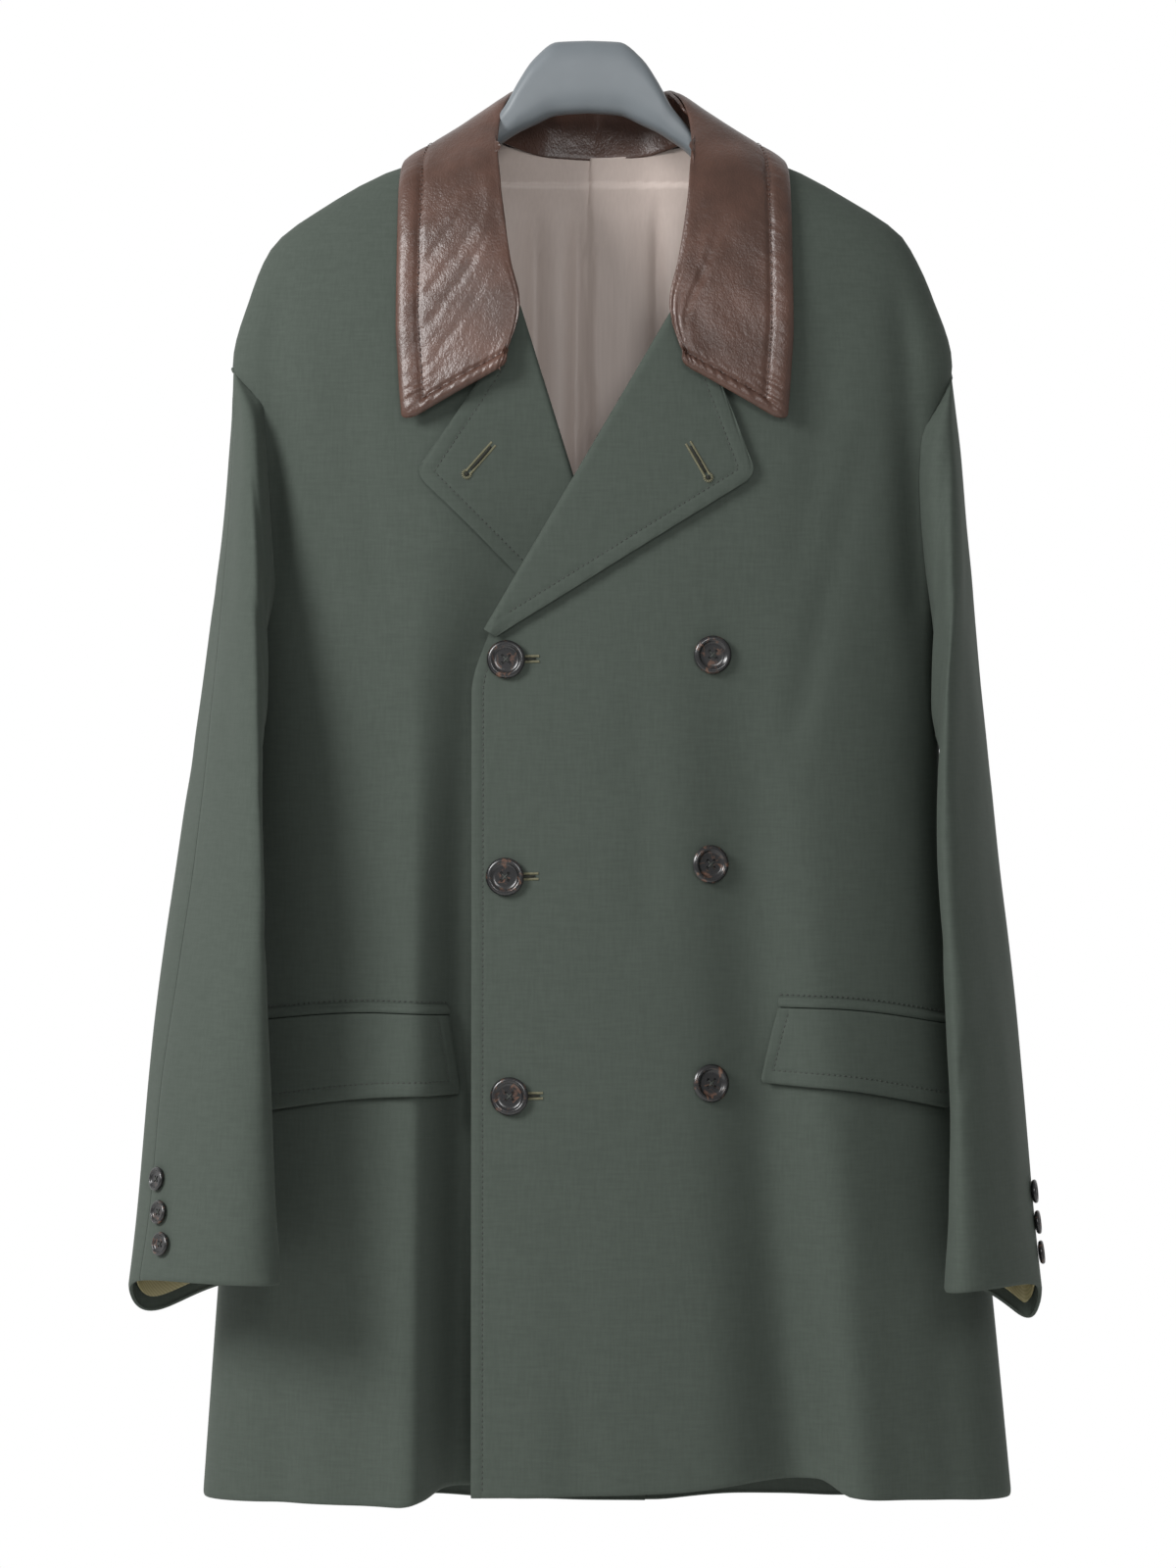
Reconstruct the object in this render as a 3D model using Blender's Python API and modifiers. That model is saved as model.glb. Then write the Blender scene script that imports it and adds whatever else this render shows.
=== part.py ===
"""Double-breasted loden coat with a leather collar, hanging on a plain moulded hanger.

Metres, +Z up. The origin is the top of the hanger, where it is held. The coat faces -Y,
so its wearer's left is at +X. Every cloth piece is a thin wall with its own outline; walls
that are sewn together stay a seam gap apart, and what lies on a panel is that panel's
surface moved out.
"""

import math
from bisect import bisect_right
from collections import namedtuple

import bmesh
import bpy
from mathutils import Vector

# Thicknesses and gaps
CLOTH = 0.0020
LEATHER = 0.0022
LINING = 0.0010
SEAM = 0.0004
LINING_GAP = 0.0016
LINING_GAP_LOW = 0.0070
LINING_INSET = 0.0120
LINING_LOW_Z = -0.862

# Levels of the body
NECK_Z = -0.058
SHOULDER_Z = -0.199
UNDERARM_Z = -0.410
VENT_TOP_Z = -0.600

# How full a horizontal section of the body is: 1 is an ellipse, less is squarer
FULLNESS = 0.75

# A fold's ends fade over these shares of its length, and its sides by this power of its half width
FOLD_FADE_IN = (-0.12, 0.18)
FOLD_FADE_OUT = (1.35, 1.0)
FOLD_SIDES = 1.6
SIDE_FADE = 0.030

# The body at each level: how far its two sides, its front and its back reach
Section = namedtuple("Section", "z right_x left_x side_y front_y back_y")
BODY = (
    Section(-0.058, -0.075, 0.081, 0.002, -0.026, 0.042),
    Section(-0.071, -0.096, 0.106, 0.002, -0.030, 0.046),
    Section(-0.083, -0.128, 0.134, 0.002, -0.034, 0.049),
    Section(-0.095, -0.150, 0.155, 0.001, -0.038, 0.052),
    Section(-0.107, -0.169, 0.175, 0.001, -0.041, 0.054),
    Section(-0.119, -0.186, 0.191, 0.000, -0.044, 0.056),
    Section(-0.131, -0.196, 0.199, 0.000, -0.046, 0.058),
    Section(-0.155, -0.206, 0.210, 0.000, -0.050, 0.060),
    Section(-0.199, -0.2175, 0.223, 0.000, -0.055, 0.062),
    Section(-0.280, -0.212, 0.219, 0.002, -0.060, 0.062),
    Section(-0.410, -0.207, 0.215, 0.007, -0.064, 0.060),
    Section(-0.560, -0.212, 0.226, 0.014, -0.066, 0.058),
    Section(-0.740, -0.226, 0.246, 0.018, -0.068, 0.060),
    Section(-0.905, -0.238, 0.262, 0.020, -0.070, 0.064),
)

# Where each front ends towards the middle: neckline, roll line of the lapel, then front edge
Edge = namedtuple("Edge", "z x")
FRONT_LEFT_EDGE = (
    Edge(-0.058, 0.073), Edge(-0.110, 0.069), Edge(-0.172, 0.0535), Edge(-0.270, -0.004),
    Edge(-0.366, -0.0600), Edge(-0.400, -0.0700), Edge(-0.905, -0.0705),
)
FRONT_RIGHT_EDGE = (
    Edge(-0.058, -0.066), Edge(-0.110, -0.062), Edge(-0.177, -0.0415), Edge(-0.276, -0.0100),
    Edge(-0.393, 0.0260), Edge(-0.430, 0.0330), Edge(-0.905, 0.0480),
)

# The hem's height along each panel
Hem = namedtuple("Hem", "x z")
FRONT_RIGHT_HEM = (
    Hem(-0.238, -0.8910), Hem(-0.180, -0.8885), Hem(-0.115, -0.8880), Hem(-0.098, -0.8850),
    Hem(-0.085, -0.8800), Hem(0.060, -0.8800),
)
FRONT_LEFT_HEM = (
    Hem(-0.073, -0.8832), Hem(0.050, -0.8800), Hem(0.118, -0.8745), Hem(0.138, -0.8745),
    Hem(0.158, -0.8840), Hem(0.200, -0.8870), Hem(0.262, -0.8910),
)
BACK_HEM = (
    Hem(-0.238, -0.8910), Hem(-0.120, -0.8980), Hem(0.020, -0.9015), Hem(0.140, -0.8960),
    Hem(0.262, -0.8910),
)

# Long folds of the hanging cloth, from an upper to a lower point. Depth is a trough's, a ridge is negative
Fold = namedtuple("Fold", "upper_x upper_z lower_x lower_z half_width upper_depth lower_depth")
FRONT_RIGHT_FOLDS = (
    Fold(-0.192, -0.130, -0.192, -0.300, 0.013, 0.003, 0.010),
    Fold(-0.150, -0.420, -0.150, -0.900, 0.060, 0.000, -0.006),
    Fold(-0.107, -0.420, -0.109, -0.900, 0.026, 0.000, -0.010),
)
FRONT_LEFT_FOLDS = (
    Fold(0.190, -0.150, 0.203, -0.330, 0.014, 0.004, 0.011),
    Fold(0.084, -0.330, 0.130, -0.900, 0.038, 0.002, 0.026),
    Fold(0.118, -0.420, 0.163, -0.900, 0.030, 0.000, -0.013),
    Fold(0.000, -0.420, -0.020, -0.900, 0.070, 0.000, -0.004),
)
BACK_FOLDS = (
    Fold(-0.150, -0.250, -0.165, -0.905, 0.036, 0.002, 0.018),
    Fold(-0.080, -0.300, -0.095, -0.905, 0.032, 0.000, -0.012),
    Fold(0.060, -0.320, 0.085, -0.905, 0.034, 0.000, -0.012),
    Fold(0.125, -0.240, 0.160, -0.905, 0.036, 0.002, 0.020),
)

# How far the under front lies behind the top front, and where across it starts and stops sinking
Under = namedtuple("Under", "z depth from_x to_x")
UNDERLAP = (
    Under(-0.100, 0.0000, -0.100, -0.010), Under(-0.180, 0.0040, -0.100, -0.010),
    Under(-0.270, 0.0130, -0.100, -0.012), Under(-0.330, 0.0155, -0.103, -0.040),
    Under(-0.400, 0.0180, -0.106, -0.064), Under(-0.600, 0.0240, -0.107, -0.070),
    Under(-0.905, 0.0360, -0.108, -0.070),
)

# The vent at the middle of the back: the left back laps over the right one
BACK_SEAM_X = 0.006
VENT_OVERLAP = 0.030
VENT_STEP = 0.0032
# The right back sinks by that step between these heights above the vent and distances from the seam
VENT_SINK_Z = (0.14, 0.06)
VENT_SINK_X = (-0.036, -0.010)
VENT_CORNER = 0.02
NECK_DIP = 0.0120
NECK_HALF_WIDTH = 0.070

# How far an armhole's front and back cut into the panels from its straight line
ARMHOLE_BOW = 0.018

# A sleeve's rings: how far down it, the reach of its outer and inner side, its middle and half its depth
Ring = namedtuple("Ring", "place outer_x outer_z inner_x inner_z middle_y half_y slant lift")
SLEEVE_RIGHT = (
    Ring(0.10, -0.2195, -0.222, -0.2000, -0.418, -0.008, 0.042, 36, 0.0000),
    Ring(0.20, -0.2235, -0.262, -0.1985, -0.430, -0.017, 0.048, 44, 0.0000),
    Ring(0.30, -0.2290, -0.310, -0.1975, -0.446, -0.028, 0.053, 48, 0.0000),
    Ring(0.40, -0.2350, -0.362, -0.1965, -0.470, -0.040, 0.055, 50, 0.0000),
    Ring(0.50, -0.2430, -0.425, -0.1935, -0.505, -0.049, 0.055, 54, 0.0000),
    Ring(0.60, -0.2520, -0.495, -0.1915, -0.550, -0.057, 0.053, 52, 0.0000),
    Ring(0.70, -0.2600, -0.565, -0.1895, -0.605, -0.064, 0.051, 48, 0.0010),
    Ring(0.80, -0.2665, -0.635, -0.1870, -0.660, -0.070, 0.049, 44, 0.0030),
    Ring(0.90, -0.2710, -0.703, -0.1845, -0.715, -0.076, 0.047, 40, 0.0070),
    Ring(1.00, -0.2770, -0.761, -0.1815, -0.763, -0.081, 0.046, 36, 0.0120),
)
SLEEVE_LEFT = (
    Ring(0.10, 0.2255, -0.222, 0.2080, -0.418, -0.008, 0.040, 36, 0.0000),
    Ring(0.20, 0.2305, -0.262, 0.2085, -0.430, -0.016, 0.047, 44, 0.0000),
    Ring(0.30, 0.2350, -0.310, 0.2100, -0.446, -0.026, 0.053, 50, 0.0000),
    Ring(0.40, 0.2390, -0.362, 0.2105, -0.470, -0.036, 0.057, 54, 0.0000),
    Ring(0.50, 0.2450, -0.425, 0.2110, -0.505, -0.043, 0.059, 56, 0.0000),
    Ring(0.60, 0.2520, -0.495, 0.2125, -0.550, -0.049, 0.059, 56, 0.0000),
    Ring(0.70, 0.2590, -0.565, 0.2140, -0.605, -0.055, 0.058, 55, 0.0010),
    Ring(0.80, 0.2650, -0.635, 0.2145, -0.660, -0.061, 0.056, 52, 0.0030),
    Ring(0.90, 0.2695, -0.705, 0.2135, -0.717, -0.067, 0.054, 46, 0.0070),
    Ring(1.00, 0.2750, -0.765, 0.2110, -0.769, -0.072, 0.053, 40, 0.0130),
)
# The cuff's edge is lifted all round but for a dip behind its outer side: its angle, width and depth
DIP_ANGLE = 282
DIP_WIDTH = 50
DIP_SHARE = 2.0
# Steps of the armhole from shoulder to underarm; a sleeve has as many on its front as on its back
ARMHOLE_STEPS = 7
# The seams of a two-piece sleeve, in those steps from its outer side towards its front
SLEEVE_RIGHT_SEAMS = (0, 7)
SLEEVE_LEFT_SEAMS = (-2, 7)
SLEEVE_TRIM = 1.0
ARMHOLE_GAP = 0.0006
SLEEVE_CLEARANCE = 0.0022
CUFF_LINING_GAP = 0.0019
CUFF_LINING_FROM = 0.88
CUFF_LINING_TO = 0.985

# The collar's half from the middle of the back to its front end: neck seam, roll line and outer edge
Collar = namedtuple("Collar", "place neck_x neck_y neck_z roll_x roll_y roll_z edge_x edge_y edge_z bulge")
COLLAR = (
    Collar(0.00, 0.0000, 0.0425, -0.0688, 0.0000, 0.0490, -0.0290, 0.0000, 0.0690, -0.1050, 0.012),
    Collar(0.14, 0.0300, 0.0400, -0.0668, 0.0270, 0.0440, -0.0282, 0.0440, 0.0680, -0.1030, 0.012),
    Collar(0.28, 0.0560, 0.0250, -0.0595, 0.0456, 0.0230, -0.0282, 0.0900, 0.0500, -0.0900, 0.010),
    Collar(0.35, 0.0640, 0.0140, -0.0555, 0.0500, 0.0130, -0.0312, 0.1040, 0.0340, -0.0755, 0.008),
    Collar(0.42, 0.0690, 0.0020, -0.0530, 0.0535, 0.0030, -0.0360, 0.1130, 0.0040, -0.0700, 0.005),
    Collar(0.56, 0.0690, -0.0155, -0.0560, 0.0555, -0.0170, -0.0590, 0.1190, -0.0240, -0.0850, 0.006),
    Collar(0.70, 0.0660, -0.0300, -0.0850, 0.0545, -0.0385, -0.0900, 0.1195, -0.0400, -0.1220, 0.008),
    Collar(0.85, 0.0610, -0.0400, -0.1250, 0.0490, -0.0550, -0.1390, 0.1200, -0.0520, -0.1790, 0.007),
    Collar(0.92, 0.0580, -0.0430, -0.1450, 0.0450, -0.0612, -0.1665, 0.1185, -0.0557, -0.2065, 0.006),
    Collar(1.00, 0.0540, -0.0460, -0.1680, 0.0560, -0.0665, -0.2055, 0.1160, -0.0595, -0.2385, 0.005),
)
COLLAR_MIDDLE_X = 0.004
COLLAR_LIFT = 0.0022
ROLL_RISE = 0.06
STEEPEST = 0.25
STAND_TO = 0.46

# A lapel's corners on its front: the roll line's lower and upper ends, its tip, and its ends below and above
Lapel = namedtuple("Lapel", "low_x low_z top_x top_z tip_x tip_z under_x under_z over_x over_z tip_at")
LAPEL_LEFT = Lapel(
    -0.0590, -0.3640, 0.0535, -0.1720, 0.1010, -0.2690, -0.0550, -0.3665, 0.0720, -0.1930, 0.66,
)
LAPEL_RIGHT = Lapel(
    0.0240, -0.3860, -0.0415, -0.1770, -0.1035, -0.2680, 0.0190, -0.3900, -0.0580, -0.2000, 0.60,
)
LAPEL_ROLL = 0.0032
LAPEL_LIFT = 0.0028

# A pocket flap and the welt above it: the flap's front and rear ends, above and below
Flap = namedtuple("Flap", "front_top_x front_low_x rear_x front_top_z rear_top_z front_low_z rear_low_z arch")
FLAP_RIGHT = Flap(-0.0850, -0.0785, -0.1985, -0.5945, -0.5985, -0.6420, -0.6540, 0.0035)
FLAP_LEFT = Flap(0.1150, 0.1025, 0.2170, -0.5895, -0.6010, -0.6345, -0.6520, 0.0030)
WELT_HEIGHT = 0.0060
WELT_THICK = 0.0014
FLAP_LIFT_TOP = 0.0010
FLAP_LIFT_LOW = 0.0034
WELT_LIFT = 0.0010

# Buttons: their places on the fronts, and up the cuffs beside the sleeve's rear seam
BUTTON_DIAMETER = 0.0230
BUTTON_THICK = 0.0042
CUFF_BUTTON_DIAMETER = 0.0145
CUFF_BUTTON_THICK = 0.0034
Button = namedtuple("Button", "name x z sink")
FRONT_BUTTONS = (
    Button("button_fastened_1", -0.0490, -0.3800, 0), Button("button_fastened_2", -0.0495, -0.5105, 0),
    Button("button_fastened_3", -0.0468, -0.6420, 0), Button("button_show_1", 0.0745, -0.3770, 0),
    Button("button_show_2", 0.0728, -0.5030, 0), Button("button_show_3", 0.0734, -0.6345, 0.0010),
)
CUFF_BUTTON_Z = (-0.693, -0.7125, -0.7315)
CUFF_BUTTON_ANGLE_RIGHT = 17
CUFF_BUTTON_ANGLE_LEFT = -34
# How far a cuff button sinks towards the flat faces of its sleeve
CUFF_BUTTON_SINK = 0.0002

# Half of the hanger from its middle to its end
Bar = namedtuple("Bar", "x top_z low_z half_y")
HANGER = (
    Bar(0.000, 0.0000, -0.0440, 0.0110), Bar(0.019, -0.0008, -0.0455, 0.0110),
    Bar(0.033, -0.0110, -0.0515, 0.0112), Bar(0.0415, -0.0260, -0.0570, 0.0112),
    Bar(0.047, -0.0402, -0.0615, 0.0106), Bar(0.054, -0.0530, -0.0675, 0.0104),
    Bar(0.064, -0.0620, -0.0760, 0.0110), Bar(0.076, -0.0675, -0.0845, 0.0120),
    Bar(0.092, -0.0735, -0.0940, 0.0130), Bar(0.115, -0.0840, -0.1070, 0.0140),
    Bar(0.140, -0.0950, -0.1180, 0.0150), Bar(0.164, -0.1100, -0.1300, 0.0160),
    Bar(0.178, -0.1230, -0.1380, 0.0150),
)
HANGER_SIDES = 12
HANGER_SQUARENESS = 3.0


def between(rows, key):
    """The row of a table at a key in its first column, on a smooth curve that never overshoots the rows."""
    keys = [row[0] for row in rows]
    rising = keys[-1] > keys[0]
    if not rising:
        rows, keys = rows[::-1], keys[::-1]
    key = min(max(key, keys[0]), keys[-1])
    at = min(max(bisect_right(keys, key) - 1, 0), len(keys) - 2)
    step = keys[at + 1] - keys[at]
    part = (key - keys[at]) / step

    def slope(index, column):
        """The curve's slope at a row: the harmonic mean of its neighbours' or 0 at a turning point."""
        if index in (0, len(rows) - 1):
            near = 1 if index == 0 else index
            return (rows[near][column] - rows[near - 1][column]) / (keys[near] - keys[near - 1])
        before = (rows[index][column] - rows[index - 1][column]) / (keys[index] - keys[index - 1])
        after = (rows[index + 1][column] - rows[index][column]) / (keys[index + 1] - keys[index])
        return 2 * before * after / (before + after) if before * after > 0 else 0.0

    values = []
    for column in range(1, len(rows[0])):
        low, high = rows[at][column], rows[at + 1][column]
        bend_low = slope(at, column) * step - (high - low)
        bend_high = (high - low) - slope(at + 1, column) * step
        values.append(low + part * (high - low) + part * (1 - part) * (bend_low * (1 - part) + bend_high * part))
    return type(rows[0])(key, *values)


def ramp(value, start, end):
    """0 at start and 1 at end, with soft ends."""
    part = min(max((value - start) / (end - start), 0), 1)
    return part * part * (3 - 2 * part)


def mix(a, b, part):
    return a + (b - a) * part


def spread(*runs):
    """Places from 0 to 1: each run ends at a place, in a number of steps, crowded to its start by a power."""
    places, start = [0.0], 0.0
    for end, steps, power in runs:
        places += [start + (end - start) * (step / steps) ** power for step in range(1, steps + 1)]
        start = end
    return places


def fold_depth(folds, x, z):
    """How deep the folds sink the cloth at a place on a panel."""
    depth = 0.0
    for fold in folds:
        down = (fold.upper_z - z) / (fold.upper_z - fold.lower_z)
        across = (x - mix(fold.upper_x, fold.lower_x, down)) / fold.half_width
        fade = ramp(down, *FOLD_FADE_IN) * ramp(down, *FOLD_FADE_OUT)
        here = mix(fold.upper_depth, fold.lower_depth, min(max(down, 0), 1))
        depth += fade * here * math.exp(-FOLD_SIDES * across * across)
    return depth


def section_reach(x, section):
    """The share of a section's depth that it has at x."""
    half = (section.left_x - section.right_x) / 2
    part = (x - (section.left_x + section.right_x) / 2) / half
    return max(0.0, 1 - part * part) ** (FULLNESS / 2)


def side_fade(x, section):
    """Folds fade out towards the seams at the sides, so that the panels meet there."""
    return ramp(min(x - section.right_x, section.left_x - x), 0.0, SIDE_FADE)


def front_y(x, z):
    section = between(BODY, z)
    return section.side_y - SEAM / 2 - (section.side_y - section.front_y) * section_reach(x, section)


def back_y(x, z):
    section = between(BODY, z)
    return section.side_y + SEAM / 2 + (section.back_y - section.side_y) * section_reach(x, section)


def front_left_y(x, z):
    return front_y(x, z) + fold_depth(FRONT_LEFT_FOLDS, x, z) * side_fade(x, between(BODY, z))


def front_right_y(x, z):
    under = between(UNDERLAP, z)
    sunk = under.depth * ramp(x, under.from_x, under.to_x)
    return front_y(x, z) + sunk + fold_depth(FRONT_RIGHT_FOLDS, x, z) * side_fade(x, between(BODY, z))


def back_panel_y(x, z):
    return back_y(x, z) - fold_depth(BACK_FOLDS, x, z) * side_fade(x, between(BODY, z))


def armhole_x(z, side):
    """The edge of the armhole on the panels at a level; side is -1 for the wearer's right, 1 for the left."""
    section = between(BODY, z)
    reach = section.left_x if side > 0 else section.right_x
    down = (SHOULDER_Z - z) / (SHOULDER_Z - UNDERARM_Z)
    if not 0 < down < 1:
        return reach
    return reach - side * ARMHOLE_BOW * math.sin(math.pi * down)


def out_of(surface_y, x, z, facing):
    """The unit direction out of a panel given as y over x and z; facing is -1 for a front and 1 for a back."""
    step = 0.0008
    slope_x = (surface_y(x + step, z) - surface_y(x - step, z)) / (2 * step)
    slope_z = (surface_y(x, z + step) - surface_y(x, z - step)) / (2 * step)
    return Vector((-facing * slope_x, facing, -facing * slope_z)).normalized()


def lying_on(surface_y, x, z, lift, facing=-1):
    """A point that lies off a panel by the lift."""
    return Vector((x, surface_y(x, z), z)) + lift * out_of(surface_y, x, z, facing)


def new_material(name, color, roughness):
    material = bpy.data.materials.new(name)
    material.use_nodes = True
    shader = material.node_tree.nodes["Principled BSDF"]
    shader.inputs["Base Color"].default_value = (*color, 1)
    shader.inputs["Roughness"].default_value = roughness
    shader.inputs["Metallic"].default_value = 0
    return material


def add_object(name, bm, material):
    mesh = bpy.data.meshes.new(name)
    bm.to_mesh(mesh)
    bm.free()
    mesh.shade_smooth()
    mesh.set_sharp_from_angle(angle=math.radians(50))
    mesh.materials.append(material)
    obj = bpy.data.objects.new(name, mesh)
    coat.objects.link(obj)
    return obj


def add_wall(name, grid, thickness, material, outs=None):
    """A wall on a grid of points of its outer face; its inner face is the thickness further in.

    outs is the grid of directions out of the wall, or None to take them from the points.
    """
    rows, columns = len(grid) - 1, len(grid[0]) - 1
    if outs is None:
        outs = [[face_normal(grid, i, j) for j in range(columns + 1)] for i in range(rows + 1)]
    bm = bmesh.new()
    bmesh.ops.create_grid(bm, x_segments=rows, y_segments=columns, size=0.5)
    places = {}
    for vert in bm.verts:
        places[vert] = round((vert.co.x + 0.5) * rows), round((vert.co.y + 0.5) * columns)
    made = bmesh.ops.extrude_face_region(bm, geom=bm.faces[:], use_keep_orig=True)
    for vert in (part for part in made["geom"] if isinstance(part, bmesh.types.BMVert)):
        i, j = round((vert.co.x + 0.5) * rows), round((vert.co.y + 0.5) * columns)
        vert.co = grid[i][j] - outs[i][j] * thickness
    for vert, (i, j) in places.items():
        vert.co = grid[i][j]
    bmesh.ops.recalc_face_normals(bm, faces=bm.faces[:])
    return add_object(name, bm, material)


def face_normal(grid, i, j):
    """The outward direction of a grid's face at one of its points."""
    rows, columns = len(grid) - 1, len(grid[0]) - 1
    down = grid[min(i + 1, rows)][j] - grid[max(i - 1, 0)][j]
    along = grid[i][min(j + 1, columns)] - grid[i][max(j - 1, 0)]
    return down.cross(along).normalized()


def panel_levels(rows_above, rows_below):
    """A panel's rows as levels and shares: down to the shoulder, along the armhole, then towards the hem."""
    above = [(SHOULDER_Z, place) for place in spread((1, rows_above, 1))]
    armhole = [(armhole_z(step), 1) for step in range(1, ARMHOLE_STEPS + 1)]
    below = [(UNDERARM_Z, 1 + place) for place in spread((1, rows_below, 1))]
    return above + armhole + below[1:]


def armhole_z(step):
    """The level of a step of the armhole."""
    return mix(UNDERARM_Z, SHOULDER_Z, (1 + math.cos(math.pi * step / ARMHOLE_STEPS)) / 2)


def flattened(direction, axis):
    """A direction without its part along an axis, for a wall's edge that stays clear of its neighbour."""
    return (direction - axis * direction.dot(axis)).normalized()


def panel_point(level, share, place, side, middle_x, neck_z, hem_rows):
    """Where a panel's row and column meet: x and z."""
    z = level
    for _ in range(4):
        gap = side * SEAM if UNDERARM_Z < z < SHOULDER_Z else 0
        x = mix(armhole_x(z, side) - gap, middle_x(z), place)
        z = mix(neck_z(x), level, share) if share <= 1 else mix(level, between(hem_rows, x).z, share - 1)
    return x, z


def add_panel(name, side, facing, surface_y, middle_x, neck_z, hem_rows, levels, places, material):
    """A front or a back: from its side seam and armhole to its edge or the seam of the back."""
    grid, outs = [], []
    for level, share in levels:
        row, out_row = [], []
        for place in places:
            x, z = panel_point(level, share, place, side, middle_x, neck_z, hem_rows)
            out = out_of(surface_y, x, z, facing)
            if place == 0:
                out = flattened(out, Vector((0, 1, 0)))
            if place == 1 and facing > 0:
                out = flattened(out, Vector((1, 0, 0)))
            row.append(Vector((x, surface_y(x, z), z)))
            out_row.append(out)
        grid.append(row)
        outs.append(out_row)
    return add_wall(name, grid, CLOTH, material, outs)


def front_neck_z(_):
    return NECK_Z


def back_neck_z(x):
    """The back's neckline dips to the middle."""
    part = (x - COLLAR_MIDDLE_X) / NECK_HALF_WIDTH
    return NECK_Z - NECK_DIP * max(0, 1 - part * part)


def back_middle_left(_):
    return BACK_SEAM_X + SEAM / 2


def back_middle_right(z):
    """The right back ends at the seam, and below the vent's top it reaches past it under the left back."""
    return BACK_SEAM_X - SEAM / 2 + VENT_OVERLAP * ramp(z, VENT_TOP_Z, VENT_TOP_Z - VENT_CORNER)


def back_right_y(x, z):
    """The right back sinks under the left one towards the vent."""
    sunk = ramp(z - VENT_TOP_Z, *VENT_SINK_Z) * ramp(x - BACK_SEAM_X, *VENT_SINK_X)
    return back_panel_y(x, z) - VENT_STEP * sunk


def side_x(y, z, side):
    """How far the body's side reaches at a depth and level."""
    section = between(BODY, z)
    half = (section.left_x - section.right_x) / 2
    depth = section.front_y - section.side_y if y < section.side_y else section.back_y - section.side_y
    part = min(1, (y - section.side_y) / depth) ** (2 / FULLNESS)
    return (section.left_x + section.right_x) / 2 + side * half * math.sqrt(1 - part)


def sleeve_point(rings, side, place, angle):
    """A point of a sleeve: place runs from armhole to cuff, angle from the outer side forward."""
    turn = math.radians(angle)
    ring = between(rings, place)
    lean = math.radians(ring.slant)
    outer = (1 + math.cos(turn)) / 2
    from_dip = ((angle - DIP_ANGLE + 180) % 360 - 180) / DIP_WIDTH
    lift = ring.lift * (1 - DIP_SHARE * math.exp(-from_dip * from_dip))
    point = Vector((
        mix(ring.inner_x, ring.outer_x, (1 + math.cos(turn + lean)) / 2),
        ring.middle_y - ring.half_y * math.sin(turn),
        mix(ring.inner_z, ring.outer_z, outer) + lift,
    ))
    point.x = side * max(side * point.x, side * side_x(point.y, point.z, side) + SLEEVE_CLEARANCE)
    if place >= rings[0].place:
        return point
    z = mix(UNDERARM_Z, SHOULDER_Z, outer)
    x = armhole_x(z, side)
    y = front_y(x, z) if math.sin(turn) > 0 else back_y(x, z)
    return Vector((x + side * ARMHOLE_GAP, y, z)).lerp(point, place / rings[0].place)


def sleeve_out(rings, side, place, angle):
    """The direction out of a sleeve at one of its points."""
    high, low = max(place - 0.02, 0), min(place + 0.02, 1)
    down = sleeve_point(rings, side, low, angle) - sleeve_point(rings, side, high, angle)
    along = sleeve_point(rings, side, place, angle + 5) - sleeve_point(rings, side, place, angle - 5)
    out = (down.cross(along) * -side).normalized()
    return out if place > 0 else flattened(out, Vector((1, 0, 0)))


def add_sleeve(name, rings, side, first, last, material):
    """One of a sleeve's two pieces, between two seams given as steps round the sleeve."""
    step_angle = 180 / ARMHOLE_STEPS
    grid, outs = [], []
    for place in spread((rings[0].place, 2, 1), (1, 14, 1)):
        angles = [step * step_angle for step in range(first, last + 1)]
        angles[0] += SLEEVE_TRIM
        angles[-1] -= SLEEVE_TRIM
        grid.append([sleeve_point(rings, side, place, angle) for angle in angles])
        outs.append([sleeve_out(rings, side, place, angle) for angle in angles])
    return add_wall(name, grid, CLOTH, material, outs)


def add_cuff_lining(name, rings, side, material):
    """The lining that shows inside a cuff, a short tube slit along the inner side."""
    grid, outs = [], []
    for part in spread((1, 2, 1)):
        place = mix(CUFF_LINING_FROM, CUFF_LINING_TO, part)
        angles = [mix(182, 538, share) for share in spread((1, 16, 1))]
        outs.append([sleeve_out(rings, side, place, angle) for angle in angles])
        grid.append([
            sleeve_point(rings, side, place, angle) - out * (CLOTH + CUFF_LINING_GAP)
            for angle, out in zip(angles, outs[-1])
        ])
    return add_wall(name, grid, LINING, material, outs)


def collar_row(place, side):
    """A station of the collar; place runs from 0 at the middle of the back to 1 at the front end."""
    row = between(COLLAR, place)
    neck = Vector((COLLAR_MIDDLE_X + side * row.neck_x, row.neck_y, row.neck_z))
    roll = Vector((COLLAR_MIDDLE_X + side * row.roll_x, row.roll_y, row.roll_z))
    edge = Vector((COLLAR_MIDDLE_X + side * row.edge_x, row.edge_y, row.edge_z))
    return neck, roll, edge, row.bulge


def fall_out(place, side):
    """The direction out of the collar's fall at a station."""
    _, before, _, _ = collar_row(max(place - 0.03, 0), side)
    _, roll, edge, _ = collar_row(place, side)
    _, after, _, _ = collar_row(min(place + 0.03, 1), side)
    return ((after - before).cross(edge - roll) * side).normalized()


def clear_of_body(point):
    """A point of the collar, moved out of the body where the collar lies on it."""
    section = between(BODY, point.z)
    if point.z > NECK_Z or not section.right_x < point.x < section.left_x:
        return point
    surface_y, facing = (front_y, -1) if point.y < section.side_y else (back_y, 1)
    out = out_of(surface_y, point.x, point.z, facing)
    limit = surface_y(point.x, point.z) + facing * (LEATHER + COLLAR_LIFT) / max(abs(out.y), STEEPEST)
    point.y = facing * max(facing * point.y, facing * limit)
    return point


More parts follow.
